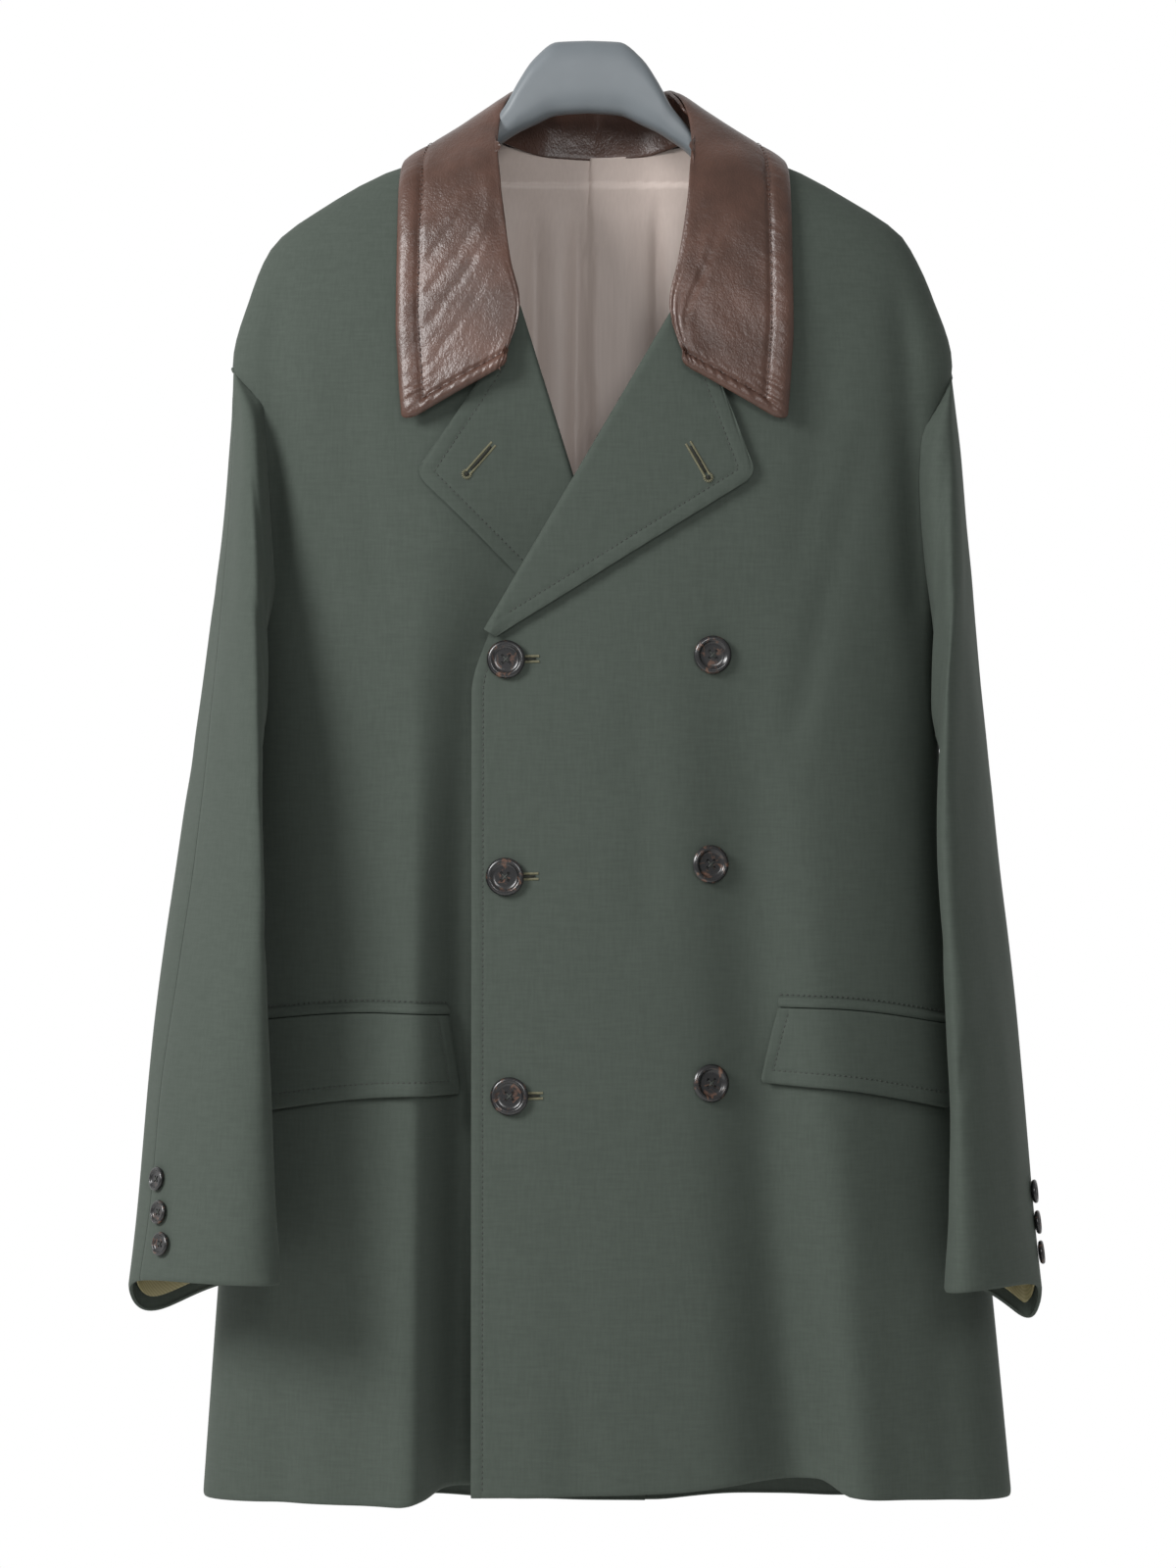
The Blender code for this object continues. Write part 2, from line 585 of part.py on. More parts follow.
def add_collar_fall(material):
    """The collar's fall, a bent leaf from the roll line to the outer edge, round the neck."""
    grid = []
    half = spread((0.25, 4, 1), (0.50, 9, 1), (1, 9, 1))
    for place, side in [(place, -1) for place in half[::-1]] + [(place, 1) for place in half[1:]]:
        _, roll, edge, bulge = collar_row(place, side)
        top = roll + fall_out(place, side) * bulge + (roll - edge) * ROLL_RISE
        row = []
        for across in spread((0.4, 3, 1), (1, 3, 1)):
            row.append(clear_of_body(roll.lerp(top, across).lerp(top.lerp(edge, across), across)))
        grid.append(row)
    return add_wall("collar_fall", grid, LEATHER, material)


def add_collar_stand(material):
    """The collar's stand, from the neck seam up to the roll line."""
    grid = []
    for share in spread((1, 18, 1)):
        place, side = abs(2 * share - 1) * STAND_TO, -1 if share > 0.5 else 1
        neck, roll, _, _ = collar_row(place, side)
        top = roll - (roll - neck).normalized() * (LEATHER + 4 * SEAM)
        grid.append([neck.lerp(top, part) for part in (0, 0.5, 1)])
    return add_wall("collar_stand", grid, LEATHER, material)


def lapel_edge(lapel, along):
    """A point on a lapel's free edge, from its lower end round its tip to its upper end."""
    low = Vector((lapel.under_x, lapel.under_z))
    tip = Vector((lapel.tip_x, lapel.tip_z))
    over = Vector((lapel.over_x, lapel.over_z))
    if along <= lapel.tip_at:
        return low.lerp(tip, along / lapel.tip_at)
    return tip.lerp(over, (along - lapel.tip_at) / (1 - lapel.tip_at))


def add_lapel(name, lapel, side, surface_y, material):
    """A lapel that turns over at its roll line and lies on its front."""
    roll_low, roll_top = Vector((lapel.low_x, lapel.low_z)), Vector((lapel.top_x, lapel.top_z))
    line = (roll_top - roll_low).normalized()
    beyond = Vector((-line.y, line.x)) * side
    grid = []
    for along in spread((lapel.tip_at, 7, 1), (1, 4, 1)):
        roll = roll_low.lerp(roll_top, along)
        edge = lapel_edge(lapel, along)
        row = []
        for turn in (0, 60, 120, 180):
            angle = math.radians(turn)
            place = roll + beyond * (2 * SEAM + LAPEL_ROLL * math.sin(angle))
            lift = LAPEL_ROLL * (1 - math.cos(angle))
            base = lying_on(surface_y, roll.x, roll.y, lift)
            row.append(base + Vector((place.x - roll.x, 0, place.y - roll.y)))
        for part in (0.25, 0.5, 0.75, 1):
            place = roll.lerp(edge, part)
            lift = mix(2 * LAPEL_ROLL, CLOTH + LAPEL_LIFT, ramp(part, 0, 1))
            row.append(lying_on(surface_y, place.x, place.y, lift))
        grid.append(row if side < 0 else row[::-1])
    return add_wall(name, grid, CLOTH, material)


def add_flap(name, flap, side, surface_y, material):
    """A pocket flap, hanging from the welt."""
    grid = []
    for down in (0, 0.33, 0.67, 1):
        row = []
        for along in spread((0.3, 5, 1), (0.7, 3, 1), (1, 6, 1)):
            front_x = mix(flap.front_top_x, flap.front_low_x, down)
            x = mix(front_x, flap.rear_x, along)
            top_z = mix(flap.front_top_z, flap.rear_top_z, along) + flap.arch * math.sin(math.pi * along)
            low_z = mix(flap.front_low_z, flap.rear_low_z, along) + flap.arch * math.sin(math.pi * along)
            lift = CLOTH + mix(FLAP_LIFT_TOP, FLAP_LIFT_LOW, down)
            row.append(lying_on(surface_y, x, mix(top_z, low_z, down), lift))
        grid.append(row if side > 0 else row[::-1])
    return add_wall(name, grid, CLOTH, material)


def add_welt(name, flap, side, surface_y, material):
    """The narrow welt over a flap."""
    grid = []
    for up in (1, 0.5, 0):
        row = []
        for along in spread((0.3, 5, 1), (0.7, 3, 1), (1, 6, 1)):
            x = mix(flap.front_top_x, flap.rear_x, along)
            top_z = mix(flap.front_top_z, flap.rear_top_z, along) + flap.arch * math.sin(math.pi * along)
            z = top_z + SEAM + WELT_HEIGHT * up
            row.append(lying_on(surface_y, x, z, WELT_THICK + WELT_LIFT))
        grid.append(row if side > 0 else row[::-1])
    return add_wall(name, grid, WELT_THICK, material)


def add_button(name, place, out, diameter, thick, material):
    """A turned button with a raised rim and a dished middle, seated on its cloth."""
    radius = diameter / 2
    profile = (
        (0.0, 0.62 * thick), (0.62 * radius, 0.66 * thick), (0.74 * radius, thick), (0.90 * radius, thick),
        (radius, 0.66 * thick), (0.86 * radius, 0.18 * thick), (0.55 * radius, 0.0), (0.0, 0.0),
    )
    mesh = bpy.data.meshes.new(name)
    bm = bmesh.new()
    verts = [bm.verts.new((r, 0, h)) for r, h in profile]
    for a, b in zip(verts, verts[1:]):
        bm.edges.new((a, b))
    bm.to_mesh(mesh)
    bm.free()
    mesh.materials.append(material)
    obj = bpy.data.objects.new(name, mesh)
    coat.objects.link(obj)
    screw = obj.modifiers.new("turn", "SCREW")
    screw.steps = screw.render_steps = 14
    screw.use_merge_vertices = True
    screw.merge_threshold = 0.00001
    screw.use_smooth_shade = True
    obj.rotation_mode = "QUATERNION"
    obj.rotation_quaternion = out.to_track_quat("Z", "Y")
    obj.location = place + out * SEAM
    return obj


def add_buttons(material):
    for button in FRONT_BUTTONS:
        out = out_of(front_left_y, button.x, button.z, -1)
        place = lying_on(front_left_y, button.x, button.z, -button.sink)
        add_button(button.name, place, out, BUTTON_DIAMETER, BUTTON_THICK, material)
    cuffs = (
        ("right", SLEEVE_RIGHT, -1, CUFF_BUTTON_ANGLE_RIGHT),
        ("left", SLEEVE_LEFT, 1, CUFF_BUTTON_ANGLE_LEFT),
    )
    for word, rings, side, angle in cuffs:
        for number, z in enumerate(CUFF_BUTTON_Z, 1):
            place = cuff_place(rings, side, z, angle)
            point = sleeve_point(rings, side, place, angle)
            out = sleeve_out(rings, side, place, angle)
            add_button(
                f"button_cuff_{word}_{number}", point - out * CUFF_BUTTON_SINK, out, CUFF_BUTTON_DIAMETER,
                CUFF_BUTTON_THICK, material,
            )


def cuff_place(rings, side, z, angle):
    """How far down a sleeve a level is, along one angle."""
    low, high = 0.5, 1.0
    for _ in range(30):
        middle = (low + high) / 2
        if sleeve_point(rings, side, middle, angle).z > z:
            low = middle
        else:
            high = middle
    return middle


def add_lining(material):
    """The lining of the back, which shows through the open neck."""
    grid, outs = [], []
    for down in spread((0.36, 9, 1), (1, 7, 1)):
        row, out_row = [], []
        for across in spread((1, 18, 1)):
            x = 0.0
            for _ in range(3):
                z = mix(back_neck_z(x) - LINING_GAP, LINING_LOW_Z, down)
                left, right = armhole_x(z, 1) - LINING_INSET, armhole_x(z, -1) + LINING_INSET
                x = mix(left, right, (1 - math.cos(math.pi * across)) / 2)
            out = out_of(back_right_y, x, z, 1)
            row.append(Vector((x, back_right_y(x, z), z)) - out * (CLOTH + mix(LINING_GAP, LINING_GAP_LOW, down)))
            out_row.append(out)
        grid.append(row)
        outs.append(out_row)
    return add_wall("lining_back", grid, LINING, material, outs)


def add_hanger(material):
    """A moulded bar that rises to a hump in the middle and slopes to both shoulders."""
    bars = [bar._replace(x=-bar.x) for bar in HANGER[:0:-1]] + list(HANGER)
    bm = bmesh.new()
    loops = []
    for bar in bars:
        middle, half = (bar.top_z + bar.low_z) / 2, (bar.top_z - bar.low_z) / 2
        loop = []
        for step in range(HANGER_SIDES):
            turn = 2 * math.pi * (step + 0.5) / HANGER_SIDES
            power = 2 / HANGER_SQUARENESS
            y = bar.half_y * math.copysign(abs(math.cos(turn)) ** power, math.cos(turn))
            z = middle + half * math.copysign(abs(math.sin(turn)) ** power, math.sin(turn))
            loop.append(bm.verts.new((bar.x, y, z)))
        loops.append(loop)
    edges = [[bm.edges.new((loop[i - 1], loop[i])) for i in range(HANGER_SIDES)] for loop in loops]
    for one, two in zip(edges, edges[1:]):
        bmesh.ops.bridge_loops(bm, edges=one + two)
    for loop in (loops[0], loops[-1]):
        bm.faces.new(loop)
    bmesh.ops.recalc_face_normals(bm, faces=bm.faces[:])
    return add_object("hanger", bm, material)


for old in list(bpy.data.objects):
    bpy.data.objects.remove(old)
coat = bpy.data.collections.new("loden_coat")
bpy.context.scene.collection.children.link(coat)

wool = new_material("loden_wool", (0.075, 0.090, 0.075), 0.85)
leather = new_material("brown_leather", (0.130, 0.070, 0.052), 0.42)
satin = new_material("taupe_lining", (0.300, 0.235, 0.205), 0.55)
cuff_cotton = new_material("olive_cuff_lining", (0.250, 0.240, 0.160), 0.75)
horn = new_material("dark_horn", (0.035, 0.026, 0.021), 0.30)
plastic = new_material("grey_plastic", (0.120, 0.130, 0.138), 0.48)

add_hanger(plastic)
add_panel(
    "front_right", -1, -1, front_right_y, lambda z: between(FRONT_RIGHT_EDGE, z).x, front_neck_z, FRONT_RIGHT_HEM,
    panel_levels(8, 9), spread((0.12, 4, 1.8), (0.42, 4, 1), (0.60, 6, 1), (1, 4, 1)), wool,
)
add_panel(
    "front_left", 1, -1, front_left_y, lambda z: between(FRONT_LEFT_EDGE, z).x, front_neck_z, FRONT_LEFT_HEM,
    panel_levels(8, 9), spread((0.12, 4, 1.8), (0.48, 8, 1), (1, 6, 1)), wool,
)
add_panel(
    "back_right", -1, 1, back_right_y, back_middle_right, back_neck_z, BACK_HEM,
    panel_levels(6, 9), spread((0.22, 4, 1.8), (1, 8, 1)), wool,
)
add_panel(
    "back_left", 1, 1, back_panel_y, back_middle_left, back_neck_z, BACK_HEM,
    panel_levels(6, 9), spread((0.22, 4, 1.8), (1, 7, 1)), wool,
)
for word, rings, side, seams in (
    ("right", SLEEVE_RIGHT, -1, SLEEVE_RIGHT_SEAMS),
    ("left", SLEEVE_LEFT, 1, SLEEVE_LEFT_SEAMS),
):
    add_sleeve(f"sleeve_{word}_top", rings, side, seams[0], seams[1], wool)
    add_sleeve(f"sleeve_{word}_under", rings, side, seams[1], seams[0] + 2 * ARMHOLE_STEPS, wool)
    add_cuff_lining(f"cuff_lining_{word}", rings, side, cuff_cotton)
add_lapel("lapel_right", LAPEL_RIGHT, -1, front_right_y, wool)
add_lapel("lapel_left", LAPEL_LEFT, 1, front_left_y, wool)
add_collar_stand(leather)
add_collar_fall(leather)
add_flap("flap_right", FLAP_RIGHT, -1, front_right_y, wool)
add_flap("flap_left", FLAP_LEFT, 1, front_left_y, wool)
add_welt("welt_right", FLAP_RIGHT, -1, front_right_y, wool)
add_welt("welt_left", FLAP_LEFT, 1, front_left_y, wool)
add_lining(satin)
add_buttons(horn)
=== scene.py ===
"""The looks of a double-breasted loden coat with a leather collar, hanging on a moulded hanger.

Metres, +Z up, in the frame of the CAD: the origin is the top of the hanger, the coat faces -Y and its
wearer's left is at +X. Each cloth piece is a thin shell on the form of its solid, with finer creases.
"""

import math
from bisect import bisect_right
from collections import namedtuple

import bmesh
import bpy
from mathutils import Matrix, Vector, noise


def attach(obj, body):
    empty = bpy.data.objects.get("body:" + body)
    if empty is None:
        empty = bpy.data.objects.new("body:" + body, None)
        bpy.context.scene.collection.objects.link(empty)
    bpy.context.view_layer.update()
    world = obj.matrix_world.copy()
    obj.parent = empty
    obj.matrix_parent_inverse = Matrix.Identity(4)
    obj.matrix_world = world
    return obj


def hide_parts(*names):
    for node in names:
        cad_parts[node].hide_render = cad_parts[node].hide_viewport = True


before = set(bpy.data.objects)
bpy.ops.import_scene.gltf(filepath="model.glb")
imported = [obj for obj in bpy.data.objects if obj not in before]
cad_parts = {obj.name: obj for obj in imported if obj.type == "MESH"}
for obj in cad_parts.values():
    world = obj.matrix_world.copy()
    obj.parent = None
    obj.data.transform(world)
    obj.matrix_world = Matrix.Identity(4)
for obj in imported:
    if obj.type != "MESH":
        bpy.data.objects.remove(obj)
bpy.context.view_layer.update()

# The back: two panels of loden from the neck to the hem, sewn up the middle. Below the seam the left one
# laps over the right one as a vent. Loden is woven wool that is shrunk until it felts, then brushed and
# pressed, so it is thick and soft, hangs in long folds, and its weave barely shows.
CLOTH = 0.0020
SEAM = 0.0004
NECK_Z = -0.058
SHOULDER_Z = -0.199
UNDERARM_Z = -0.410
VENT_TOP_Z = -0.600
FULLNESS = 0.75
BACK_SEAM_X = 0.006
VENT_OVERLAP = 0.030
VENT_STEP = 0.0032
NECK_DIP = 0.0120
NECK_HALF_WIDTH = 0.070
NECK_MIDDLE_X = 0.004
HEM_ROUND = 0.0030
HEM_TURN = 0.0010
SIDE_FADE = 0.030
BACK_SEED = 3

# An armhole, on side -1 for the wearer's right and 1 for the left: how far its edge bows in, over what height
# below the shoulder it turns in, and over what height above the underarm it runs out again
ARMHOLE_BOW = 0.018
ARMHOLE_TURN = {-1: 0.028, 1: 0.050}
ARMHOLE_RUN_OUT = {-1: 0.080, 1: 0.150}

# Where the right back sinks under the left one: levels, and places across it
VENT_SINK_Z = (VENT_TOP_Z + 0.14, VENT_TOP_Z + 0.06)
VENT_SINK_X = (BACK_SEAM_X - 0.036, BACK_SEAM_X - 0.010)
VENT_TURN = 0.02

# The body at each level: how far its two sides, its front and its back reach
Section = namedtuple("Section", "z right_x left_x side_y front_y back_y")
BODY = (
    Section(-0.058, -0.075, 0.081, 0.002, -0.026, 0.042),
    Section(-0.071, -0.096, 0.106, 0.002, -0.030, 0.046),
    Section(-0.083, -0.128, 0.134, 0.002, -0.034, 0.049),
    Section(-0.095, -0.150, 0.155, 0.001, -0.038, 0.052),
    Section(-0.107, -0.169, 0.175, 0.001, -0.041, 0.054),
    Section(-0.119, -0.186, 0.191, 0.000, -0.044, 0.056),
    Section(-0.131, -0.196, 0.199, 0.000, -0.046, 0.058),
    Section(-0.155, -0.206, 0.210, 0.000, -0.050, 0.060),
    Section(-0.199, -0.2175, 0.223, 0.000, -0.055, 0.062),
    Section(-0.280, -0.212, 0.219, 0.002, -0.060, 0.062),
    Section(-0.410, -0.207, 0.215, 0.007, -0.064, 0.060),
    Section(-0.560, -0.212, 0.226, 0.014, -0.066, 0.058),
    Section(-0.740, -0.226, 0.246, 0.018, -0.068, 0.060),
    Section(-0.905, -0.238, 0.262, 0.020, -0.070, 0.064),
)

Hem = namedtuple("Hem", "x z")
BACK_HEM = (
    Hem(-0.238, -0.8910), Hem(-0.120, -0.8980), Hem(0.020, -0.9015), Hem(0.140, -0.8960),
    Hem(0.262, -0.8910),
)

# Folds of the hanging cloth, from an upper to a lower point. Depth is a trough's, a ridge is negative. A fold
# fades in and out over shares of its length, and reaches some half-widths to each side
Fold = namedtuple("Fold", "upper_x upper_z lower_x lower_z half_width upper_depth lower_depth")
FOLD_FADE_IN = (-0.12, 0.18)
FOLD_FADE_OUT = (1.35, 1.0)
FOLD_REACH = 2.2
FOLD_CRISPNESS = 1.6
BACK_FOLDS = (
    Fold(-0.150, -0.250, -0.165, -0.905, 0.036, 0.002, 0.018),
    Fold(-0.080, -0.300, -0.095, -0.905, 0.032, 0.000, -0.012),
    Fold(0.060, -0.320, 0.085, -0.905, 0.034, 0.000, -0.012),
    Fold(0.125, -0.240, 0.160, -0.905, 0.036, 0.002, 0.020),
    Fold(-0.175, -0.210, -0.120, -0.330, 0.011, 0.002, 0.0015),
    Fold(0.182, -0.205, 0.130, -0.320, 0.011, 0.002, 0.0015),
    Fold(-0.040, -0.120, -0.050, -0.300, 0.020, 0.001, 0.002),
    Fold(0.045, -0.130, 0.040, -0.340, 0.018, 0.001, 0.002),
    Fold(-0.030, -0.520, -0.045, -0.905, 0.016, 0.000, 0.004),
    Fold(0.040, -0.560, 0.045, -0.905, 0.015, 0.000, 0.004),
)

# The slight waver of cloth that hangs free: its waves to a metre across and down, and their height
Waver = namedtuple("Waver", "across down height")
WIDE_WAVER = Waver(16, 7, 0.0009)
FINE_WAVER = Waver(45, 22, 0.0003)
FINE_WAVER_SEED = 5

# A sheet's edges are softened by a share of its thickness, where its faces meet at more than an angle
SOFT_EDGE = 0.35
SOFT_EDGE_ANGLE = math.radians(60)


def between(rows, key):
    """The row of a table at a key in its first column, on a smooth curve that never overshoots the rows."""
    if rows[0][0] > rows[-1][0]:
        rows = rows[::-1]
    keys = [row[0] for row in rows]
    key = min(max(key, keys[0]), keys[-1])
    at = min(max(bisect_right(keys, key) - 1, 0), len(keys) - 2)
    step = keys[at + 1] - keys[at]
    part = (key - keys[at]) / step

    def slope(index, column):
        """The curve's slope at a row: the harmonic mean of its neighbours' or 0 at a turning point."""
        if index in (0, len(rows) - 1):
            near = 1 if index == 0 else index
            return (rows[near][column] - rows[near - 1][column]) / (keys[near] - keys[near - 1])
        before = (rows[index][column] - rows[index - 1][column]) / (keys[index] - keys[index - 1])
        after = (rows[index + 1][column] - rows[index][column]) / (keys[index + 1] - keys[index])
        return 2 * before * after / (before + after) if before * after > 0 else 0.0

    values = []
    for column in range(1, len(rows[0])):
        low, high = rows[at][column], rows[at + 1][column]
        bend_low = slope(at, column) * step - (high - low)
        bend_high = (high - low) - slope(at + 1, column) * step
        bend = part * (1 - part) * (bend_low * (1 - part) + bend_high * part)
        values.append(low + part * (high - low) + bend)
    return type(rows[0])(key, *values)


def ramp(value, start, end):
    """0 at start and 1 at end, with soft ends."""
    part = min(max((value - start) / (end - start), 0), 1)
    return part * part * (3 - 2 * part)


def mix(a, b, part):
    return a + (b - a) * part


def spread(*runs):
    """Places from 0 to 1: each run ends at a place, in a number of steps, crowded to its start by a power."""
    places, start = [0.0], 0.0
    for end, steps, power in runs:
        places += [start + (end - start) * (step / steps) ** power for step in range(1, steps + 1)]
        start = end
    return places


def fold_depth(folds, x, z):
    """How deep the folds sink the cloth at a place on a panel; they fade in and out at their ends."""
    depth = 0.0
    for fold in folds:
        down = (fold.upper_z - z) / (fold.upper_z - fold.lower_z)
        across = (x - mix(fold.upper_x, fold.lower_x, down)) / fold.half_width
        if FOLD_FADE_IN[0] < down < FOLD_FADE_OUT[0] and abs(across) < FOLD_REACH:
            fade = ramp(down, *FOLD_FADE_IN) * ramp(down, *FOLD_FADE_OUT)
            here = mix(fold.upper_depth, fold.lower_depth, min(max(down, 0), 1))
            depth += fade * here * math.exp(-FOLD_CRISPNESS * across * across)
    return depth


def uneven(x, z, seed):
    """How far the cloth wavers at a place on a panel; each panel has its own seed."""
    wide = noise.noise(Vector((x * WIDE_WAVER.across, z * WIDE_WAVER.down, seed)))
    fine = noise.noise(Vector((x * FINE_WAVER.across, z * FINE_WAVER.down, seed + FINE_WAVER_SEED)))
    return WIDE_WAVER.height * wide + FINE_WAVER.height * fine


def section_reach(x, section):
    """The share of a section's depth that it has at x."""
    half = (section.left_x - section.right_x) / 2
    part = (x - (section.left_x + section.right_x) / 2) / half
    return max(0.0, 1 - part * part) ** (FULLNESS / 2)


def side_fade(x, section):
    """Folds fade out towards the seams at the sides, so that the panels meet there."""
    return ramp(min(x - section.right_x, section.left_x - x), 0.0, SIDE_FADE)


def back_y(x, z):
    section = between(BODY, z)
    return section.side_y + SEAM / 2 + (section.back_y - section.side_y) * section_reach(x, section)


def back_left_y(x, z):
    folds = fold_depth(BACK_FOLDS, x, z) + uneven(x, z, BACK_SEED)
    return back_y(x, z) - folds * side_fade(x, between(BODY, z))


def back_right_y(x, z):
    """The right back sinks under the left one towards the vent."""
    sunk = ramp(z, *VENT_SINK_Z) * ramp(x, *VENT_SINK_X)
    return back_left_y(x, z) - VENT_STEP * sunk


def back_neck_z(x):
    """The back's neckline dips to the middle."""
    part = (x - NECK_MIDDLE_X) / NECK_HALF_WIDTH
    return NECK_Z - NECK_DIP * max(0, 1 - part * part)


def back_middle_left(_):
    return BACK_SEAM_X + SEAM / 2


def back_middle_right(z):
    """The right back ends at the seam, and in the vent it reaches past it under the left back."""
    return BACK_SEAM_X - SEAM / 2 + VENT_OVERLAP * ramp(z, VENT_TOP_Z, VENT_TOP_Z - VENT_TURN)


def armhole_x(z, side):
    """The edge of the armhole on the panels at a level."""
    section = between(BODY, z)
    reach = section.left_x if side > 0 else section.right_x
    turned = ramp(z, SHOULDER_Z, SHOULDER_Z - ARMHOLE_TURN[side])
    return reach - side * ARMHOLE_BOW * turned * ramp(z, UNDERARM_Z, UNDERARM_Z + ARMHOLE_RUN_OUT[side])


def panel_rows(above, beside, below):
    """A panel's rows as levels and shares: down to the shoulder, along the armhole, then to the hem."""
    rows = [(SHOULDER_Z, place) for place in spread((1, above, 1))]
    rows += [(mix(SHOULDER_Z, UNDERARM_Z, place), 1) for place in spread((1, beside, 1))[1:]]
    return rows + [(UNDERARM_Z, 1 + place) for place in spread((0.985, below, 1), (1, 6, 1))[1:]]


def laid_grid(rows, columns, point, turned_over=False):
    """A sheet of quads with each vertex at the point of its row and column, and the place of each vertex."""
    bm = bmesh.new()
    bmesh.ops.create_grid(bm, x_segments=rows, y_segments=columns, size=0.5)
    places = {}
    for vert in bm.verts:
        places[vert] = round((vert.co.x + 0.5) * rows), round((vert.co.y + 0.5) * columns)
        vert.co = point(*places[vert])
    if turned_over:
        bmesh.ops.reverse_faces(bm, faces=bm.faces[:])
    return bm, places


def raise_cloth(bm, places, relief):
    """Moves each vertex out of its sheet by the relief at its point, row and column."""
    bm.normal_update()
    lifts = {vert: relief(vert.co, *place) for vert, place in places.items()}
    for vert, lift in lifts.items():
        vert.co += vert.normal * lift


def add_piece(name, bm, material, nodes=(), thickness=0.0):
    """Makes the piece, which rides on the coat; a sheet gets its thickness and softened edges."""
    mesh = bpy.data.meshes.new(name)
    bm.to_mesh(mesh)
    bm.free()
    mesh.shade_smooth()
    mesh.materials.append(material)
    piece = bpy.data.objects.new(name, mesh)
    bpy.context.scene.collection.objects.link(piece)
    if thickness:
        wall = piece.modifiers.new("thickness", "SOLIDIFY")
        wall.thickness, wall.offset = thickness, -1
        edge = piece.modifiers.new("soft edge", "BEVEL")
        edge.width, edge.segments = SOFT_EDGE * thickness, 2
        edge.limit_method, edge.angle_limit = "ANGLE", SOFT_EDGE_ANGLE
    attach(piece, "root")
    if nodes:
        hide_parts(*nodes)
    return piece


def add_panel(name, node, side, facing, surface_y, middle_x, neck_z, hem, rows, columns, border=None):
    """A front or a back. A column is a share of the way from the side to the middle, which is an inset from
    the panel's edge there; border gives the relief of that edge from the point and the inset."""

    def point(row, column):
        """Level and place across follow from each other, so they are worked out by turns."""
        level, share = rows[row]
        place, inset = columns[column]
        z = level
        for _ in range(3):
            gap = side * SEAM if UNDERARM_Z < z < SHOULDER_Z else 0
            x = mix(armhole_x(z, side) - gap, middle_x(z) + side * inset, place)
            z = mix(neck_z(x), level, share) if share <= 1 else mix(level, between(hem, x).z, share - 1)
        return x, surface_y(x, z), z

    def relief(co, _, column):
        place, inset = columns[column]
        above_hem = co.z - between(hem, co.x).z
        turned_in = -HEM_TURN * max(0, 1 - above_hem / HEM_ROUND) ** 2
        return turned_in + (border(co, inset) if border and place == 1 else 0)

    bm, places = laid_grid(len(rows) - 1, len(columns) - 1, point, side * facing < 0)
    raise_cloth(bm, places, relief)
    return add_piece(name, bm, loden, (node,), CLOTH)


def linear(colour):
    """An sRGB hex value as a linear colour."""
    shares = [int(colour[at:at + 2], 16) / 255 for at in (1, 3, 5)]
    return [share / 12.92 if share <= 0.04045 else ((share + 0.055) / 1.055) ** 2.4 for share in shares] + [1]


def add_node(owner, kind, settings=None, **inputs):
    """Adds a node to a material or world, or takes its shader; an input is a value or a socket to link."""
    tree = owner.node_tree
    is_shader = kind in ("Principled BSDF", "Background")
    made = tree.nodes[kind] if is_shader else tree.nodes.new("ShaderNode" + kind)
    for name, value in (settings or {}).items():
        setattr(made, name, value)
    for name, value in inputs.items():
        socket = made.inputs[name.replace("_", " ")]
        if isinstance(value, bpy.types.NodeSocket):
            tree.links.new(value, socket)
        else:
            socket.default_value = value
    return made.outputs


def new_material(name):
    material = bpy.data.materials.new(name)
    material.use_nodes = True
    return material


# Loden: carded wool, felted, cropped and pressed, dark grey-green. Wool fibre has an IOR of 1.55 and the
# short nap scatters the light, so it is matt; up close warp and weft show as faint threads. These are 0.5 mm,
# too fine to show, so they are drawn at 1.5 mm.
THREAD = 0.0015
THREAD_STRETCH = 0.12
loden = new_material("loden_wool_felted")
coords = add_node(loden, "TexCoord")["Object"]
down_cloth = add_node(loden, "Mapping", Vector=coords, Scale=(1, 1, THREAD_STRETCH))["Vector"]
over_cloth = add_node(loden, "Mapping", Vector=coords, Scale=(THREAD_STRETCH, THREAD_STRETCH, 1))["Vector"]
warp = add_node(loden, "TexNoise", Vector=down_cloth, Scale=1 / THREAD, Detail=3, Roughness=0.6)["Fac"]
weft = add_node(loden, "TexNoise", Vector=over_cloth, Scale=1 / THREAD, Detail=3, Roughness=0.6)["Fac"]
weave = add_node(loden, "MixRGB", Fac=0.5, Color1=warp, Color2=weft)["Color"]
tone = add_node(loden, "MapRange", Value=weave, From_Min=0.38, From_Max=0.62)["Result"]
base_colour = add_node(loden, "MixRGB", Fac=tone, Color1=linear("#383f39"), Color2=linear("#3d443e"))["Color"]
threads_up = add_node(loden, "Bump", Height=weave, Strength=0.08, Distance=0.0004)["Normal"]
add_node(
    loden, "Principled BSDF", Base_Color=base_colour, Normal=threads_up, Roughness=0.86, IOR=1.55,
    Specular_IOR_Level=0.25, Sheen_Weight=0.10, Sheen_Roughness=0.45, Sheen_Tint=linear("#9aa59a"),
)

back_columns = [(place, 0) for place in spread((0.10, 8, 1.6), (1, 44, 1))]
back_left = add_panel(
    "loden_back_left", "back_left", 1, 1, back_left_y, back_middle_left, back_neck_z, BACK_HEM,
    panel_rows(18, 30, 70), back_columns,
)
back_right = add_panel(
    "loden_back_right", "back_right", -1, 1, back_right_y, back_middle_right, back_neck_z, BACK_HEM,
    panel_rows(18, 30, 70), back_columns,
)

